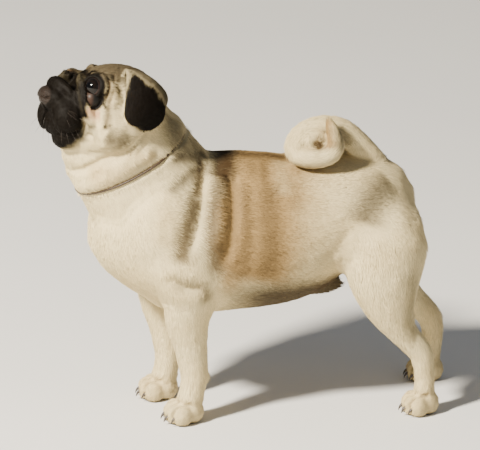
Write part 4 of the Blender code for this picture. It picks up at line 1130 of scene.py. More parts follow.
    def press_lines(self, shell: Shell) -> None:
        """Raise every fold and press every groove."""
        tree = shell.tree()
        move = np.zeros(len(shell.points))
        for line in self.lines:
            if line.depth:
                for path in line.drawn(self.pose, tree):
                    move -= line.depth * M * line.weigh(shell.points, path)
        shell.points = shell.points + shell.normals() * move[:, None]

    def thin(self, obj: bpy.types.Object) -> None:
        """Fewer triangles where the form is plain."""
        head = self.pose.in_head(Shell.from_object(obj).points)
        away = np.linalg.norm(head - np.array(self.face_centre), axis=1) / self.keep_reach
        share = np.maximum(self.keep_body, self.keep_face * (1 - away**2))
        heights = np.array([v.co.z for v in obj.data.vertices])
        share = np.where(heights < self.paw_height, self.keep_paw, share)
        weights = obj.vertex_groups.new(name="keep_fine")
        levels = self.keep_levels
        steps = np.clip(np.round(share * levels), 0, levels).astype(int)
        for step in np.unique(steps):
            weights.add(np.flatnonzero(steps == step).tolist(), max(step / levels, self.keep_body), "REPLACE")
        count = sum(len(p.vertices) - 2 for p in obj.data.polygons)
        thin = obj.modifiers.new("Thin", "DECIMATE")
        thin.ratio = self.triangles / count
        thin.use_collapse_triangulate = True
        thin.vertex_group = weights.name
        thin.invert_vertex_group = True
        thin.vertex_group_factor = self.keep_factor
        settle(obj)
        obj.vertex_groups.clear()

    def find_regions(self, shell: Shell, cast: Shell) -> None:
        """Note which region each vertex lies in."""
        tree = cast.tree()
        owners = np.array([Region.of(name) for name in self.owner])
        tips = np.array([name == "tail_tip" for name in self.owner])
        found = np.array([tree.find_nearest(Vector(p))[2] for p in shell.points])
        regions = owners[found]
        head = self.pose.in_head(shell.points)
        face = (regions == Region.HEAD) & (head[:, 0] > self.face_from) & (head[:, 2] > self.face_above)
        self.regions = np.where(face, Region.FACE, regions)
        self.tips = tips[found].astype(float)

    def build(self) -> bpy.types.Object:
        """The skin with its folds, marks and hair values.

        Returns:
            Its object.
        """
        cast = self.cast()
        cast_shell = Shell.from_object(cast)
        obj = new_object("skin", cast.data.copy())
        remesh = obj.modifiers.new("Join", "REMESH")
        remesh.mode = "VOXEL"
        remesh.voxel_size = self.voxel
        settle(obj)
        self.refine_face(obj)
        wrap = obj.modifiers.new("Wrap", "SHRINKWRAP")
        wrap.target = cast
        wrap.wrap_method = "NEAREST_SURFACEPOINT"
        soften = obj.modifiers.new("Soften", "SMOOTH")
        soften.factor = self.soften_factor
        soften.iterations = self.soften_rounds
        settle(obj)
        LOG.info("skin joined: %d faces", len(obj.data.polygons))
        self.thin(obj)
        shell = Shell.from_object(obj)
        self.find_regions(shell, cast_shell)
        self.soften_seams(shell)
        self.lines = FACE_LINES + COAT_LINES + tuple(self.toe_lines())
        self.press_lines(shell)
        self.carve_haws(shell)
        bpy.data.objects.remove(cast)
        table = np.array([astuple(HAIR[region]) for region in Region])
        self.hair = shell.blurred(table[self.regions], self.hair_rounds)
        # The lids keep their place against the eyeball
        depth = self.hair[:, 4] * (1 - ease(-self.eye_gap(shell.points), *self.lid_rise))
        shell.points = shell.points - shell.normals() * depth[:, None]
        self.shell = shell
        self.tree = shell.tree()
        self.marks = Markings(self.pose).read(shell, self.regions, self.tips, self.tree, self.lines)
        mesh = mesh_of("skin", shell.points, shell.faces)
        for mark, weight in self.marks.items():
            write_values(mesh, mark.value, weight)
        bpy.data.objects.remove(obj)
        made = new_object("skin", mesh)
        LOG.info("skin: %d triangles", len(shell.faces))
        return made

    def eye_gap(self, points: np.ndarray) -> np.ndarray:
        """How far points lie from the nearest eyeball or fleshy corner."""
        head = self.pose.in_head(points)
        return np.minimum(self.pose.gap(head, 1), self.pose.gap(head, -1))


class ChartMap:
    """An unwrap of the skin: each region is laid flat from six sides, all at one scale."""

    margin: float = 0.004
    smoothing: int = 6
    # Charts are packed at this scale first, and then at smaller ones until they fit
    first_scale: float = 1.6
    smaller: float = 0.97

    def __init__(self, skin: Skin) -> None:
        """Sort the skin's faces into charts and pack those into the unit square.

        Args:
            skin: The finished skin.
        """
        shell = skin.shell
        smooth = shell.blurred(shell.normals(), self.smoothing)
        facing = smooth[shell.faces].mean(axis=1)
        axis = np.abs(facing).argmax(axis=1)
        side = (np.take_along_axis(facing, axis[:, None], 1)[:, 0] > 0).astype(int)
        region = skin.regions[shell.faces[:, 0]]
        left = (shell.points[shell.faces[:, 0], 1] < 0).astype(int)
        self.chart = ((region * 2 + left) * 3 + axis) * 2 + side
        self.axis = axis
        self.corners: dict[int, np.ndarray] = {}
        sizes = {}
        for chart in np.unique(self.chart):
            mine = self.chart == chart
            flat = np.delete(shell.points[shell.faces[mine]].reshape(-1, 3), axis[mine][0], 1)
            self.corners[chart] = flat.min(0)
            sizes[chart] = flat.max(0) - flat.min(0)
        self.scale, self.places = self.packed(sizes)

    def packed(self, sizes: dict[int, np.ndarray]) -> tuple[float, dict[int, np.ndarray]]:
        """Shelves of charts.

        Args:
            sizes: Each chart's width and height in metres.

        Returns:
            The scale that fits the unit square, and each chart's lower corner.
        """
        scale = self.first_scale
        while True:
            places, x, y, shelf = {}, self.margin, self.margin, 0.0
            for chart, size in sorted(sizes.items(), key=lambda item: -item[1][1]):
                wide, high = size * scale + self.margin
                if x + wide > 1:
                    x, y, shelf = self.margin, y + shelf, 0.0
                places[chart] = np.array((x, y))
                x, shelf = x + wide, max(shelf, high)
            if y + shelf <= 1:
                return scale, places
            scale *= self.smaller

    def place(self, faces: np.ndarray, points: np.ndarray) -> np.ndarray:
        """Where points of the skin lie on the unwrap.

        Args:
            faces: The face under each point.
            points: The points.

        Returns:
            Rows of two numbers from 0 to 1.
        """
        found = np.zeros((len(points), 2))
        for chart in np.unique(self.chart[faces]):
            mine = self.chart[faces] == chart
            flat = np.delete(points[mine], self.axis[faces[mine]][0], 1)
            found[mine] = (flat - self.corners[chart]) * self.scale + self.places[chart]
        return found


@dataclass(frozen=True)
class CoatPiece:
    """One piece of the coat: its regions, its side, and the slot it takes its finish from."""

    name: str
    regions: tuple[Region, ...]
    slot: str
    side: int = 0


COAT_PIECES = (
    CoatPiece("coat_face", (Region.FACE,), "coat_mask"),
    CoatPiece("coat_head", (Region.HEAD,), "coat_pale"),
    CoatPiece("coat_ears", (Region.EAR,), "ear_velvet"),
    CoatPiece("coat_neck", (Region.NECK,), "coat_pale"),
    CoatPiece("coat_left_side", (Region.TORSO,), "coat_fawn", -1),
    CoatPiece("coat_right_side", (Region.TORSO,), "coat_fawn", 1),
    CoatPiece("coat_forelegs", (Region.FORELEG,), "coat_pale"),
    CoatPiece("coat_hind_legs", (Region.HINDLEG,), "coat_pale"),
    CoatPiece("coat_paws", (Region.PAW,), "coat_pale"),
    CoatPiece("coat_tail", (Region.TAIL,), "coat_pale"),
)


# A tuft's corners are its base, two sides, top and tip: its triangles, how far along it each corner lies, and
# where on its patch of the unwrap
TUFT_FACES = np.array([[0, 1, 3], [0, 3, 2], [0, 2, 1], [1, 4, 3], [3, 4, 2], [2, 4, 1]])
TUFT_ALONG = (0.0, 0.4, 0.4, 0.5, 1.0)
TUFT_MAP = np.array([[-0.5, 0.0], [-0.2, -0.5], [-0.2, 0.5], [-0.1, 0.1], [0.5, 0.0]])


@dataclass
class Coat:
    """Short hair in thin closed tufts that lie along the body."""

    skin: Skin
    charts: ChartMap
    # How tufts stray from the flow, and how their sizes differ
    swirl: float = 0.15
    swirl_size: float = 0.018
    stray: float = 0.16
    length_spread: float = 0.25
    length_limit: float = 1.6
    width_from: float = 0.8
    width_spread: float = 0.4
    lift_from: float = 0.5
    # A tuft's form: how deep it roots, where it is widest, how high it stands there, and its ridge
    sunk: float = 0.0004
    belly_at: float = 0.34
    middle_lift: float = 0.55
    ridge: float = 0.34
    # How much its shading follows the skin's, and the least height over the floor
    soft_normals: float = 0.84
    lowest: float = 0.0004
    patch: float = 0.003
    most_tufts: int = 33000
    # Where no hair grows, and where the flow turns at the muzzle, throat, breast and rump
    bald_eyes: Span = (-0.0030, -0.0016)
    bald_soles: Span = (-0.003, -0.001)
    flow_passes: int = 4
    flow_rounds: int = 6
    muzzle: Span = (0.050, 0.064)
    throat: Span = (-0.015, 0.02)
    breast: Span = (0.085, 0.150)
    rump: Span = (0.135, 0.185)
    # The tail's line in millimetres, from its root to its tip
    tail_line: Path = (
        (176, 0, 222), (160, 0, 246), (142, -2, 268), (126, -5, 288), (109, -9, 304), (89, -14, 312),
        (70, -20, 310), (57, -26, 302), (54, -31, 293), (62, -37, 288), (77, -41, 288), (89, -43, 292),
        (94, -43, 301), (93, -41, 310), (89, -35, 326),
    )
    tail_steps: int = 4
    # Made by build, for each of the skin's vertices
    normals: np.ndarray = field(init=False)
    way: np.ndarray = field(init=False)
    bald: np.ndarray = field(init=False)

    def flow(self) -> np.ndarray:
        """The way the hair lies at each vertex of the skin."""
        skin, pose = self.skin, self.skin.pose
        shell, regions = skin.shell, skin.regions
        head = pose.in_head(shell.points)
        body = shell.points - pose.shift()
        way = np.zeros_like(shell.points)
        ones, sides = np.ones(len(head)), np.sign(head[:, 1])
        back = np.stack([-ones, 0.15 * sides, -0.35 * ease(-head[:, 2], *self.throat)], axis=1)
        muzzle = np.stack([-0.55 * ones, 0.25 * sides, -0.9 * ones], axis=1)
        share = ease(head[:, 0], *self.muzzle)[:, None]
        in_head = (back * (1 - share) + muzzle * share) @ pose.axes().T
        ear = np.stack([0.25 * ones, 0.3 * sides, -ones], axis=1) @ pose.axes().T
        for region, direction in (
            (Region.FACE, in_head), (Region.HEAD, in_head), (Region.EAR, ear),
            (Region.NECK, np.array((0.62, 0.0, -0.78))),
            (Region.FORELEG, np.array((0.12, 0.0, -1.0))),
            (Region.HINDLEG, np.array((0.16, 0.0, -1.0))),
            (Region.PAW, np.array((-0.75, 0.0, -0.65))),
        ):
            mine = regions == region
            way[mine] = direction[mine] if direction.ndim == 2 else direction
        torso = regions == Region.TORSO
        breast = ease(-body[:, 0], *self.breast)[:, None]
        along = np.array((0.93, 0.0, -0.36)) * (1 - breast) + np.array((0.22, 0.0, -1.0)) * breast
        rump = ease(body[:, 0], *self.rump)[:, None]
        along = along * (1 - rump) + np.array((0.35, 0.0, -0.95)) * rump
        way[torso] = along[torso]
        tail = regions == Region.TAIL
        line = curve_through(list(np.array(self.tail_line) / 1000), self.tail_steps)
        _, at = near_path(body[tail], line)
        steps = np.clip((at * (len(line) - 1)).astype(int), 0, len(line) - 2)
        way[tail] = unit(line[steps + 1] - line[steps])
        normals = shell.normals()
        for _ in range(self.flow_passes):
            way = shell.blurred(unit(way), self.flow_rounds)
            way = way - normals * (way * normals).sum(1)[:, None]
        return unit(way)

    def bare(self) -> np.ndarray:
        """1 where no hair grows: nose, lids, nostrils and soles."""
        points = self.skin.shell.points
        bare = np.maximum(self.skin.marks[Mark.LEATHER], ease(-self.skin.eye_gap(points), *self.bald_eyes))
        return np.maximum(bare, ease(-points[:, 2], *self.bald_soles))

    def roots(self, piece: CoatPiece, draw: np.random.Generator) -> tuple[np.ndarray, np.ndarray]:
        """Where the tufts of a piece grow.

        Args:
            piece: The piece.
            draw: Random numbers.

        Returns:
            The face under each tuft and its place in that face.
        """
        shell = self.skin.shell
        faces = shell.faces
        inside = np.isin(self.skin.regions[faces[:, 0]], piece.regions)
        if piece.side:
            inside &= np.sign(shell.points[faces[:, 0], 1]) * piece.side >= 0
        area = np.linalg.norm(shell.crosses(), axis=1) / 2
        spacing = self.skin.hair[faces, 3].mean(axis=1)
        wanted = area / spacing**2 * (1 - self.bald[faces].mean(axis=1)) * inside
        wanted *= min(1.0, self.most_tufts / wanted.sum())
        counts = np.floor(wanted + draw.random(len(wanted))).astype(int)
        chosen = np.repeat(np.arange(len(faces)), counts)
        if len(chosen) > self.most_tufts:
            chosen = np.sort(draw.permutation(chosen)[: self.most_tufts])
        a, b = draw.random((2, len(chosen)))
        flip = a + b > 1
        a, b = np.where(flip, 1 - a, a), np.where(flip, 1 - b, b)
        return chosen, np.stack([1 - a - b, a, b], axis=1)

    def grow(self, piece: CoatPiece, number: int) -> bpy.types.Object:
        """One piece of the coat.

        Args:
            piece: What it covers.
            number: Picks its random draws.

        Returns:
            Its object.
        """
        draw = np.random.default_rng(SEED + 100 + number)
        shell = self.skin.shell
        chosen, weights = self.roots(piece, draw)
        corners = shell.faces[chosen]

        def at(values: np.ndarray) -> np.ndarray:
            """Values of the skin's vertices, read at each root."""
            shape = weights[:, :, None] if values.ndim == 2 else weights
            return (values[corners] * shape).sum(axis=1)

        count = len(chosen)
        root, normal, way = at(shell.points), unit(at(self.normals)), at(self.way)
        length, width, lift, _, _ = at(self.skin.hair).T
        spread = draw.normal(size=count).clip(-self.length_limit, self.length_limit)
        length = length * (1 + self.length_spread * spread)
        width = width * (self.width_from + self.width_spread * draw.random(count))
        lift = lift * (self.lift_from + draw.random(count))
        side = np.cross(normal, way)
        turn = self.swirl * drift(root, self.swirl_size, SEED + 7) + self.stray * draw.normal(size=count)
        way = unit(way * np.cos(turn)[:, None] + side * np.sin(turn)[:, None])
        side = np.cross(normal, way)
        base = root - normal * self.sunk
        raised = (length * lift)[:, None] * normal
        middle = root + way * (length * self.belly_at)[:, None] + raised * self.middle_lift
        tip = root + way * length[:, None] + raised
        half = side * (width / 2)[:, None]
        top = middle + normal * (width * self.ridge)[:, None]
        points = np.stack([base, middle - half, middle + half, top, tip], axis=1).reshape(-1, 3)
        points[:, 2] = np.maximum(points[:, 2], self.lowest)
        faces = (TUFT_FACES[None] + len(TUFT_ALONG) * np.arange(count)[:, None, None]).reshape(-1, 3)
        mesh = mesh_of(piece.name, points, faces)
        for mark, weight in self.skin.marks.items():
            write_values(mesh, mark.value, np.repeat(at(weight), len(TUFT_ALONG)))
        write_values(mesh, "along", np.tile(TUFT_ALONG, count))
        write_values(mesh, "strand", np.repeat(draw.random(count), len(TUFT_ALONG)))
        self.add_map(mesh, self.charts.place(chosen, root), faces)
        own = Shell(points, faces).normals()
        soft = np.repeat(normal, len(TUFT_ALONG), axis=0) * self.soft_normals
        soft = unit(soft + own * (1 - self.soft_normals))
        mesh.normals_split_custom_set_from_vertices(soft.tolist())
        LOG.info("%s: %d tufts", piece.name, count)
        return new_object(piece.name, mesh)

    def add_map(self, mesh: bpy.types.Mesh, place: np.ndarray, faces: np.ndarray) -> None:
        """Give each tuft a small patch of the skin's unwrap.

        Args:
            mesh: The piece's mesh.
            place: Each root's place on the unwrap.
            faces: The piece's triangles.
        """
        spots = (place[:, None, :] + (TUFT_MAP * self.patch)[None]).reshape(-1, 2)
        layer = mesh.uv_layers.new(name="OFBake")
        layer.data.foreach_set("uv", spots[faces.ravel()].astype(np.float32).ravel())

    def build(self) -> list[bpy.types.Object]:
        """Every piece of the coat.

        Returns:
            Their objects.
        """
        self.normals = self.skin.shell.normals()
        self.way = self.flow()
        self.bald = self.bare()
        return [self.grow(piece, number) for number, piece in enumerate(COAT_PIECES)]


class Wire:
    """An output socket that reckons like a number: each sign becomes a Math node."""

    def __init__(self, board: "Board", socket: bpy.types.NodeSocket) -> None:
        """Keep the socket and the board that it is on."""
        self.board = board
        self.socket = socket

    def __add__(self, other: "Wire | float") -> "Wire":
        """Sum."""
        return self.board.math("ADD", self, other)

    def __radd__(self, other: float) -> "Wire":
        """Sum, number first."""
        return self.board.math("ADD", other, self)

    def __sub__(self, other: "Wire | float") -> "Wire":
        """Difference."""
        return self.board.math("SUBTRACT", self, other)

    def __rsub__(self, other: float) -> "Wire":
        """Difference, number first."""
        return self.board.math("SUBTRACT", other, self)

    def __mul__(self, other: "Wire | float") -> "Wire":
        """Product."""
        return self.board.math("MULTIPLY", self, other)

    def __rmul__(self, other: float) -> "Wire":
        """Product, number first."""
        return self.board.math("MULTIPLY", other, self)

    def __pow__(self, other: float) -> "Wire":
        """Power."""
        return self.board.math("POWER", self, other)

    def above(self, low: float, high: float) -> "Wire":
        """A smooth step from 0 at the first value to 1 at the second."""
        sockets = {"Value": self, "From Min": low, "From Max": high}
        return self.board.out("ShaderNodeMapRange", {"interpolation_type": "SMOOTHSTEP"}, sockets)

    def at_most(self, other: "Wire | float") -> "Wire":
        """The smaller of two."""
        return self.board.math("MINIMUM", self, other)

    def at_least(self, other: "Wire | float") -> "Wire":
        """The larger of two."""
        return self.board.math("MAXIMUM", self, other)

    def clamped(self) -> "Wire":
        """The number kept from 0 to 1."""
        return self.at_least(0.0).at_most(1.0)


class Board:
    """The nodes of one material."""

    def __init__(self, name: str) -> None:
        """Start an empty material.

        Args:
            name: Its name.
        """
        self.material = bpy.data.materials.new(name)
        self.material.use_nodes = True
        self.tree = self.material.node_tree
        self.tree.nodes.clear()
        self.place = self.out("ShaderNodeTexCoord", output="Object")

    def node(self, kind: str, settings: dict | None = None, sockets: dict | None = None) -> bpy.types.Node:
        """Any node.

        Args:
            kind: Its type.
            settings: Its options, set first. The stops of a ramp are pairs of a place and a colour.
            sockets: Values or wires for its inputs, by name or number.

        Returns:
            The node.
        """
        made = self.tree.nodes.new(kind)
        for key, value in (settings or {}).items():
            if key == "stops":
                ramp = made.color_ramp.elements
                while len(ramp) < len(value):
                    ramp.new(1.0)
                for stop, (at, colour) in zip(ramp, value):
                    stop.position, stop.color = at, colour
            else:
                setattr(made, key, value)
        for key, value in (sockets or {}).items():
            self.plug(made.inputs[key], value)
        return made

    def plug(self, socket: bpy.types.NodeSocket, value: object) -> None:
        """Link a wire to an input, or set its value."""
        if isinstance(value, Wire):
            self.tree.links.new(value.socket, socket)
        else:
            socket.default_value = value

    def out(
        self, kind: str, settings: dict | None = None, sockets: dict | None = None, output: str | int = 0
    ) -> Wire:
        """One output of a new node, as a wire."""
        return Wire(self, self.node(kind, settings, sockets).outputs[output])

    def math(self, kind: str, first: "Wire | float", second: "Wire | float") -> Wire:
        """A Math node."""
        return self.out("ShaderNodeMath", {"operation": kind}, {0: first, 1: second})

    def mix(self, share: "Wire | float", first: object, second: object, blend: str = "MIX") -> Wire:
        """Two colours in one Mix node.

        Args:
            share: How much of the second.
            first: A colour or a wire.
            second: A colour or a wire.
            blend: The way they mix.

        Returns:
            The mixed colour.
        """
        settings = {"data_type": "RGBA", "blend_type": blend}
        return self.out("ShaderNodeMix", settings, {0: share, 6: first, 7: second}, 2)

    def value(self, name: str) -> Wire:
        """A number kept on the mesh."""
        return self.out("ShaderNodeAttribute", {"attribute_name": name}, output="Fac")

    def stretched(self, scale: Point) -> Wire:
        """The place on the model, stretched by a factor along each axis."""
        return self.out("ShaderNodeVectorMath", {"operation": "MULTIPLY"}, {0: self.place, 1: scale})

    def noise(self, scale: float, detail: float = 2.0, rough: float = 0.5, at: Wire | None = None) -> Wire:
        """Soft noise from about -1 to 1.

        Args:
            scale: Swells to the metre.
            detail: Finer layers.
            rough: Strength of those.
            at: Where to read it, or the place on the model.

        Returns:
            The noise.
        """
        middle, gain = 0.5, 2.6
        sockets = {"Vector": at or self.place, "Scale": scale, "Detail": detail, "Roughness": rough}
        return (self.out("ShaderNodeTexNoise", {}, sockets) - middle) * gain

    def cells(self, scale: float) -> Wire:
        """Distance from the middles in a pattern of so many cells to the metre."""
        return self.out("ShaderNodeTexVoronoi", {"feature": "F1"}, {"Vector": self.place, "Scale": scale})

    def bump(self, height: Wire, distance: float, strength: float = 1.0, under: Wire | None = None) -> Wire:
        """A bumpy normal.

        Args:
            height: The relief from 0 to 1.
            distance: Its height in metres.
            strength: How strongly it shows.
            under: A normal to add to.

        Returns:
            The normal.
        """
        sockets = {"Height": height, "Distance": distance, "Strength": strength}
        if under:
            sockets["Normal"] = under
        return self.out("ShaderNodeBump", {}, sockets)

    def finish(
        self, constants: dict, colour: Wire, rough: Wire, normal: Wire | None = None
    ) -> bpy.types.Material:
        """Close the material with its shader.

        Args:
            constants: Values that are the same all over.
            colour, rough, normal: What varies.

        Returns:
            The material.
        """
        sockets = constants | {"Base Color": colour, "Roughness": rough}
        if normal:
            sockets["Normal"] = normal
        shader = self.out("ShaderNodeBsdfPrincipled", {}, sockets)
        self.node("ShaderNodeOutputMaterial", {}, {"Surface": shader})
        return self.material


@dataclass(frozen=True)
class CoatFinish:
    """The coat: cream with a tan saddle, dark streaks and a black mask, with painted shade in its grooves and
    hollows, on skin or on tufts.
    """

    name: str
    tufts: bool
    specular: float = 0.10
    pale: Colour = paint(236, 219, 172)
    warm: Colour = paint(222, 194, 138)
    saddle: Colour = paint(168, 138, 90)
    # Dark brown of the streaks and grey of the hair, both also laid on as painted shade
    streak: Colour = paint(68, 51, 31)
    smut: Colour = paint(82, 73, 56)
    blush: Colour = paint(186, 132, 100)
    mask: Colour = paint(15, 11, 7)
    leather: Colour = paint(38, 30, 25)
    # Swells or cells to the metre
    ragged_scale: float = 260
    fine_scale: float = 900
    broad_scale: float = 16
    pebble_scale: float = 1150
    grain_scale: float = 2600
    relief: float = 0.0005

    def make(self) -> bpy.types.Material:
        """The material, with its colour from the marks on the mesh."""
        board = Board(self.name)
        ragged = board.noise(self.ragged_scale, 3, 0.6)
        fine = board.noise(self.fine_scale, 2, 0.6)
        broad = board.noise(self.broad_scale, 3, 0.55)
        strand = board.value("strand") if self.tufts else fine * 0.5 + 0.5
        shake = ragged * 0.14 + (strand - 0.5) * (0.24 if self.tufts else 0.08)

        def weight(mark: Mark, rough: float = 1.0) -> Wire:
            """A mark's weight with a ragged edge that stays clear where the mark is absent."""
            kept = board.value(mark.value)
            edge = kept * (1 - kept) * 4
            return (kept + shake * edge * rough).clamped()

        colour = board.mix((broad * 0.35 + 0.30).clamped(), self.pale, self.warm)
        for mark, tone in (
            (Mark.SADDLE, self.saddle), (Mark.SMUT, self.smut),
            (Mark.STREAK, self.streak), (Mark.BLUSH, self.blush),
        ):
            colour = board.mix(weight(mark), colour, tone)
        mask = weight(Mark.MASK, 0.8)
        colour = board.mix(mask, colour, self.mask)
        flecks = (strand - 0.86).above(0.0, 0.03) if self.tufts else (fine - 0.75).above(0.0, 0.3)
        tan = board.value(Mark.SADDLE.value) * 0.9 + board.value(Mark.SMUT.value) * 0.8
        colour = board.mix((flecks * tan * 0.35).at_most(1.0), colour, self.streak)
        if self.tufts:
            lighter = (0.93 + strand * 0.11) * (0.91 + board.value("along") * 0.11)
        else:
            lighter = 0.80 + fine * 0.10
        grey = board.out("ShaderNodeCombineColor", {}, {0: lighter, 1: lighter, 2: lighter})
        colour = board.mix(1.0, colour, grey, "MULTIPLY")
        constants = {"IOR": 1.5, "Specular IOR Level": self.specular}
        if self.tufts:
            return board.finish(constants, colour, 0.62 - mask * 0.12 + ragged * 0.03)
        bare = board.value(Mark.LEATHER.value)
        pebbles = board.cells(self.pebble_scale)
        colour = board.mix(bare, colour, board.mix(pebbles.above(0.1, 0.7), self.mask, self.leather))
        rough = 0.74 - bare * 0.34 - mask * 0.10 + fine * 0.03
        grain = board.noise(self.grain_scale, 3, 0.7) * 0.25 + 0.5
        fur = board.bump(grain, self.relief, 0.7)
        return board.finish(constants, colour, rough, board.bump(pebbles * bare, self.relief, 0.8, fur))


@dataclass(frozen=True)
class EyeFinish:
    """A wet dark eye."""

    pupil: Colour = paint(3, 3, 4)
    iris: Colour = paint(17, 11, 8)
    fibre: Colour = paint(8, 6, 5)
    limbus: Colour = paint(6, 5, 5)
    white: Colour = paint(22, 17, 15)
    haw: Colour = paint(44, 30, 25)
    # Edges from the middle outwards, as shares of the ball's radius
    pupil_at: float = 0.36
    pupil_edge: float = 0.015
    iris_at: float = 0.70
    iris_edge: float = 0.10
    white_edge: float = 0.05
    fibre_scale: float = 5.0
    fibre_turns: float = 7.0
    fibre_length: float = 1.6
    vein_scale: float = 700

    def make(self) -> bpy.types.Material:
        """The material, drawn from each point's place round the gaze."""
        board = Board("eye")
        place = board.out("ShaderNodeAttribute", {"attribute_name": "eye_place"}, output="Vector")
        parts = board.node("ShaderNodeSeparateXYZ", {}, {0: place})
        side, height = (Wire(board, parts.outputs[k]) for k in (0, 1))
        away = (side * side + height * height) ** 0.5
        turn = board.out("ShaderNodeMath", {"operation": "ARCTAN2"}, {0: side, 1: height})
        rays = {0: turn * self.fibre_turns, 1: away * self.fibre_length}
        rays = board.out("ShaderNodeCombineXYZ", {}, rays)
        fibres = board.noise(self.fibre_scale, 3, 0.6, rays)
        iris = board.mix((fibres * 0.5 + 0.45 + (away - 0.55) * 1.2).clamped(), self.iris, self.fibre)
        pupil = away.above(self.pupil_at - self.pupil_edge, self.pupil_at + self.pupil_edge)
        colour = board.mix(pupil, self.pupil, iris)
        colour = board.mix(away.above(self.iris_at - self.iris_edge, self.iris_at), colour, self.limbus)
        veins = board.noise(self.vein_scale, 4, 0.7)
        pink = (0.5 + veins * 0.5 - height * 0.6).clamped()
        white = board.mix(pink, self.white, self.haw)
        colour = board.mix(away.above(self.iris_at, self.iris_at + self.white_edge), colour, white)
        rough = 0.16 + away.above(self.iris_at, self.iris_at + self.iris_edge) * 0.10
        constants = {"IOR": 1.38, "Specular IOR Level": 0.2}
        constants |= {"Coat Weight": 0.45, "Coat Roughness": 0.02, "Coat IOR": 1.38}
        return board.finish(constants, colour, rough)


@dataclass(frozen=True)
class HawFinish:
    """Wet flesh: pink-brown at the nose's side, dark grey outside."""

    pink: Colour = paint(51, 34, 24)
    vein: Colour = paint(38, 25, 18)
    grey: Colour = paint(12, 11, 9)
    vein_scale: float = 800
    relief: float = 0.0002

    def make(self) -> bpy.types.Material:
        """The material."""
        board = Board("haw")
        veins = board.noise(self.vein_scale, 4, 0.7)
        pink = board.mix((veins * 0.5 + 0.4).clamped(), self.pink, self.vein)
        inner = (board.value("inner") + veins * 0.12).clamped()
        normal = board.bump(veins, self.relief, 0.4)
        constants = {"IOR": 1.38, "Specular IOR Level": 0.25, "Coat Weight": 0.08, "Coat Roughness": 0.3}
        colour = board.mix(inner, self.grey, pink)
        return board.finish(constants, colour, 0.58 + veins * 0.04, normal)


@dataclass(frozen=True)
class ClawFinish:
    """Dark horn, paler and scratched towards the root."""

    dark: Colour = paint(38, 32, 29)
    worn: Colour = paint(92, 80, 70)
    streak_scale: float = 420
    stretch: Point = (0.5, 3.0, 3.0)
    relief: float = 0.0002

    def make(self) -> bpy.types.Material:
        """The material."""
        board = Board("claw")
        streaks = board.noise(self.streak_scale, 3, 0.6, board.stretched(self.stretch))
        worn = (streaks * 0.45 + 0.32).clamped()
        colour = board.mix(worn, self.dark, self.worn)
        normal = board.bump(streaks, self.relief, 0.5)
        return board.finish({"IOR": 1.54}, colour, 0.36 + worn * 0.2, normal)


@dataclass(frozen=True)
class CollarFinish:
    """Thin rolled leather, cracked a little and worn at its edge."""

    brown: Colour = paint(44, 30, 15)
    worn: Colour = paint(66, 46, 24)
    dark: Colour = paint(22, 14, 8)
    grain_scale: float = 1500
    wear_scale: float = 90
    relief: float = 0.0002

    def make(self) -> bpy.types.Material:
        """The material."""
        board = Board("collar_leather")
        grain = board.cells(self.grain_scale)
        wear = (board.noise(self.wear_scale, 3, 0.6) * 0.6 + 0.35).clamped()
        colour = board.mix(wear, self.brown, self.worn)
        colour = board.mix(grain.above(0.45, 0.1) * 0.6, colour, self.dark)
        normal = board.bump(grain, self.relief, 0.7)
        return board.finish({"IOR": 1.5}, colour, 0.42 + wear * 0.16, normal)


@dataclass(frozen=True)
class FloorFinish:
    """A plain pale floor."""

    pale: Colour = paint(226, 224, 220)
    shade: Colour = paint(220, 218, 214)

    def make(self) -> bpy.types.Material:
        """The material."""
        board = Board("studio_floor")
        cloudy = board.noise(3.0, 3, 0.5)
        colour = board.mix((cloudy * 0.5 + 0.5).clamped(), self.pale, self.shade)
        return board.finish({"Specular IOR Level": 0.2}, colour, 0.8 + cloudy * 0.03)


@dataclass
class Eye:
    """One eyeball with a raised clear front over the iris."""

    side: str
    sign: int
    pose: Pose = field(default_factory=Pose)
    proud: float = 0.0003
    iris: float = 0.0086
    dome: float = 0.0009
    # Least distance from the axis by which the back's places are divided
    pole: float = 0.3
    haw_inner: Span = (0.20, 0.62)
    rings: int = 48
    segments: int = 72

    def build(self) -> bpy.types.Object:
        """The eyeball, its pole along the gaze.

        Returns:
            Its object.
        """
        low, high = (np.array(corner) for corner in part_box(f"eye_{self.side}"))
        centre = (low + high) / 2
        radius = (high - low).min() / 2 + self.proud
        ball, faces = globe(self.rings, self.segments)
        away = np.linalg.norm(ball[:, 1:], axis=1) * radius
        front = ball[:, 0] > 0
        bulge = self.dome * np.maximum(1 - (away / self.iris) ** 2, 0) ** 1.5
        bulge = np.where(front & (away < self.iris), bulge, 0)
        points = centre + (ball * (radius + bulge)[:, None]) @ self.pose.gaze(self.sign).T
        mesh = mesh_of(f"eyeball_{self.side}", points, faces)
        place = np.stack([ball[:, 1] * self.sign, ball[:, 2], np.where(front, 0.0, 1.0)], axis=1)
        place[~front, :2] *= 1 / np.maximum(np.linalg.norm(place[~front, :2], axis=1), self.pole)[:, None]
        write_values(mesh, "eye_place", place)
        return new_object(f"eyeball_{self.side}", mesh)

    def build_haw(self) -> bpy.types.Object:
        """The fleshy corner under the eyeball.

        Returns:
            Its object.
        """
        ball, faces = globe(self.rings, self.segments)
        points = self.pose.from_head(self.pose.haw(self.sign) + ball * self.pose.haw_radius)
        mesh = mesh_of(f"haw_{self.side}", points, faces)
        write_values(mesh, "inner", ease(ball[:, 0], *self.haw_inner))
        return new_object(f"haw_{self.side}", mesh)


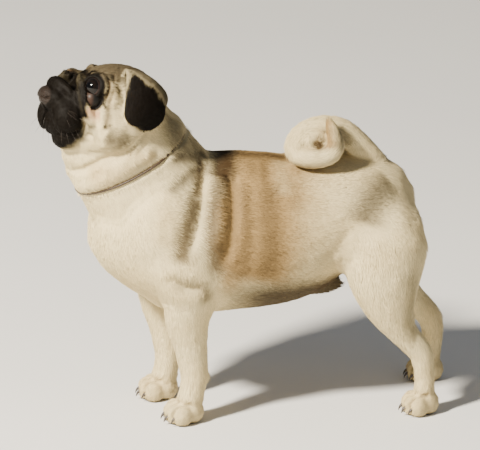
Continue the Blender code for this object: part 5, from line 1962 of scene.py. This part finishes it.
@dataclass
class Claws:
    """Smooth claws in place of the faceted ones."""

    levels: int = 2
    # Shorter and stouter than the plain ones, measured from the root
    stout: Point = (0.80, 1.35, 0.92)

    def names(self) -> list[str]:
        """The CAD nodes that are claws."""
        return [name for name in sorted(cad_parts) if "claw" in name]

    def build(self, node: str) -> bpy.types.Object:
        """A rounded copy of one paw's claws.

        Args:
            node: The CAD node.

        Returns:
            The copy.
        """
        points, faces = welded(node)
        low, high = points.min(0), points.max(0)
        root = np.array((high[0], (low[1] + high[1]) / 2, high[2]))
        points = root + (points - root) * np.array(self.stout)
        obj = new_object(f"smooth_{node}", mesh_of(f"smooth_{node}", points, faces))
        rounded = obj.modifiers.new("Round", "SUBSURF")
        rounded.levels = self.levels
        return settle(obj)


@dataclass
class Collar:
    """A thin rolled collar that lies round the neck."""

    radius: float = 0.0012
    rings: int = 220
    sides: int = 14
    window: float = 0.075
    sunk: float = 0.0030
    sinks: Span = (0.297, 0.307)
    # The slide's shape along the strap, in radii of the strap
    slide_shape: Row = (1.15, 1.5, 1.62, 1.5, 1.45, 1.5, 1.62, 1.5, 1.15)

    def line(self) -> np.ndarray:
        """The collar's middle line, found from the CAD collar."""
        points, _ = welded("collar")
        centre = points.mean(0)
        _, _, axes = np.linalg.svd(points - centre, full_matrices=False)
        flat = (points - centre) @ axes.T
        angles = np.arctan2(flat[:, 1], flat[:, 0])
        rows = []
        for turn in np.linspace(-math.pi, math.pi, self.rings, endpoint=False):
            gap = (angles - turn + math.pi) % (2 * math.pi) - math.pi
            weight = np.exp(-((gap / self.window) ** 2))
            rows.append((points * weight[:, None]).sum(0) / weight.sum())
        line = np.array(rows)
        deep = ease(line[:, 2], *self.sinks)[:, None]
        return line - unit(line - centre) * deep * self.sunk

    def build(self) -> list[bpy.types.Object]:
        """The strap, and the slide at the nape.

        Returns:
            Their objects.
        """
        line = self.line()
        points, faces = tube(line, np.full(len(line), self.radius), self.sides, closed=True)
        strap = new_object("collar_strap", mesh_of("collar_strap", points, faces))
        top, half = int(line[:, 2].argmax()), len(self.slide_shape) // 2
        stretch = line[np.arange(top - half, top + half + 1) % len(line)]
        points, faces = tube(stretch, self.radius * np.array(self.slide_shape), self.sides)
        slide = new_object("collar_slide", mesh_of("collar_slide", points, faces))
        return [strap, slide]


@dataclass
class Whiskers:
    """A few dark stiff hairs on the lips and cheeks."""

    skin: Skin
    count: int = 11
    length: float = 0.015
    radius: float = 0.00016
    sunk: float = 0.0012
    steps: int = 7
    sides: int = 4
    thin: float = 0.25
    # Where they grow, in the head's axes, and how their lengths differ
    forward: Span = (0.055, 0.068)
    aside: Span = (0.018, 0.026)
    height: Span = (-0.034, -0.016)
    lengths: Span = (0.7, 1.15)
    droop: float = 0.45
    stray: float = 0.12

    def build(self) -> bpy.types.Object:
        """All whiskers in one mesh.

        Returns:
            Its object.
        """
        draw = np.random.default_rng(SEED + 60)
        pose = self.skin.pose
        points, faces = [], []
        start = 0
        for _, sign in SIDES:
            for _ in range(self.count):
                ahead, aside, up = (draw.uniform(*span) for span in (self.forward, self.aside, self.height))
                aim = np.array((ahead, sign * aside, up))
                spot, normal, _, _ = self.skin.tree.find_nearest(Vector(pose.from_head(aim[None])[0]))
                spot, normal = np.array(spot), np.array(normal)
                way = unit((normal * 0.9 + pose.axes() @ np.array((-0.1, 0.5 * sign, -0.5)))[None])[0]
                droop = pose.axes() @ np.array((-0.5, 0.1 * sign, -0.55)) + draw.normal(size=3) * self.stray
                length = self.length * draw.uniform(*self.lengths)
                along = np.linspace(0, 1, self.steps)[:, None]
                path = spot - normal * self.sunk + way * along * length
                path = path + droop * along**2 * length * self.droop
                own, own_faces = tube(path, self.radius * np.linspace(1, self.thin, self.steps), self.sides)
                points.append(own)
                faces += [[i + start for i in face] for face in own_faces]
                start += len(own)
        return new_object("whiskers", mesh_of("whiskers", np.vstack(points), faces))


@dataclass
class Studio:
    """The floor, the lights and the camera."""

    back: Point = (-0.166, -0.942, 0.292)
    aim: Point = (-0.0022, 0.0, 0.2037)
    distance: float = 14.0
    wide: float = 0.516
    sensor: float = 36.0
    clip_end: float = 100
    floor_edge: float = 5.0
    lamp_aim: Point = (0.0, 0.0, 0.2)
    sky: Colour = (0.90, 0.94, 1.0, 1.0)
    sky_strength: float = 0.24

    def lamp(self, name: str, at: Point, size: float, power: float, colour: Point) -> None:
        """A soft lamp that faces the dog.

        Args:
            name: Its name.
            at: Where it stands.
            size: Its width.
            power: Its strength in watts.
            colour: Its tint.
        """
        light = bpy.data.lights.new(name, "AREA")
        light.shape = "DISK"
        light.size, light.energy, light.color = size, power, colour
        lamp = new_object(name, light)
        lamp.location = at
        lamp.rotation_euler = (Vector(at) - Vector(self.lamp_aim)).to_track_quat("Z", "Y").to_euler()

    def build(self, shift: np.ndarray) -> None:
        """Set the stage.

        Args:
            shift: From the body's own axes to the frame's.
        """
        edge = self.floor_edge
        corners = np.array([(-edge, -edge, 0), (edge, -edge, 0), (edge, edge, 0), (-edge, edge, 0)])
        floor = new_object("floor", mesh_of("floor", corners, [[0, 1, 2, 3]]))
        floor.data.materials.append(FloorFinish().make())
        camera = new_object("camera", bpy.data.cameras.new("camera"))
        back = Vector(self.back).normalized()
        camera.location = Vector(self.aim) + Vector(shift) + back * self.distance
        camera.rotation_euler = back.to_track_quat("Z", "Y").to_euler()
        camera.data.sensor_width = self.sensor
        camera.data.lens = self.sensor * self.distance / self.wide
        camera.data.clip_end = self.clip_end
        bpy.context.scene.camera = camera
        self.lamp("key", (-2.5, -1.8, 2.75), 0.5, 660, (1.0, 0.93, 0.80))
        self.lamp("fill", (1.6, -2.6, 1.2), 2.4, 6, (0.93, 0.96, 1.0))
        world = bpy.data.worlds.new("studio")
        bpy.context.scene.world = world
        world.use_nodes = True
        background = world.node_tree.nodes["Background"].inputs
        background["Color"].default_value = self.sky
        background["Strength"].default_value = self.sky_strength


def attach(piece: bpy.types.Object, slot: str, finish: bpy.types.Material, *replaced: str) -> None:
    """Give a piece its finish and its body.

    Args:
        piece: The piece.
        slot: Not used.
        finish: Its material.
        replaced: CAD nodes that it stands for.
    """
    piece.data.materials.clear()
    piece.data.materials.append(finish)
    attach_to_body(piece, "root")
    if replaced:
        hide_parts(*replaced)
    LOG.info("%s in place", piece.name)


def main() -> None:
    """Build the dog and its studio."""
    logging.basicConfig(level=logging.INFO, format="%(message)s")
    pose = Pose()
    skin = Skin(pose)
    attach(skin.build(), "coat_pale", CoatFinish("coat_skin", False).make(), *skin.flesh())
    coat = Coat(skin, ChartMap(skin))
    hair = CoatFinish("coat_hair", True).make()
    velvet = CoatFinish("coat_velvet", True, 0.05).make()
    for piece, made in zip(COAT_PIECES, coat.build()):
        attach(made, piece.slot, hair if piece.slot in ("coat_pale", "coat_fawn") else velvet)
    wet = EyeFinish().make()
    flesh = HawFinish().make()
    for side, sign in SIDES:
        eye = Eye(side, sign, pose)
        attach(eye.build(), "eye", wet, f"eye_{side}")
        attach(eye.build_haw(), "eye", flesh)
    claws = Claws()
    horn = ClawFinish().make()
    for name in claws.names():
        attach(claws.build(name), "claw", horn, name)
    strap, slide = Collar().build()
    leather = CollarFinish().make()
    attach(strap, "collar_leather", leather, "collar")
    attach(slide, "collar_leather", leather)
    attach(Whiskers(skin).build(), "coat_mask", horn)
    Studio().build(pose.shift())


if __name__ == "__main__":
    main()
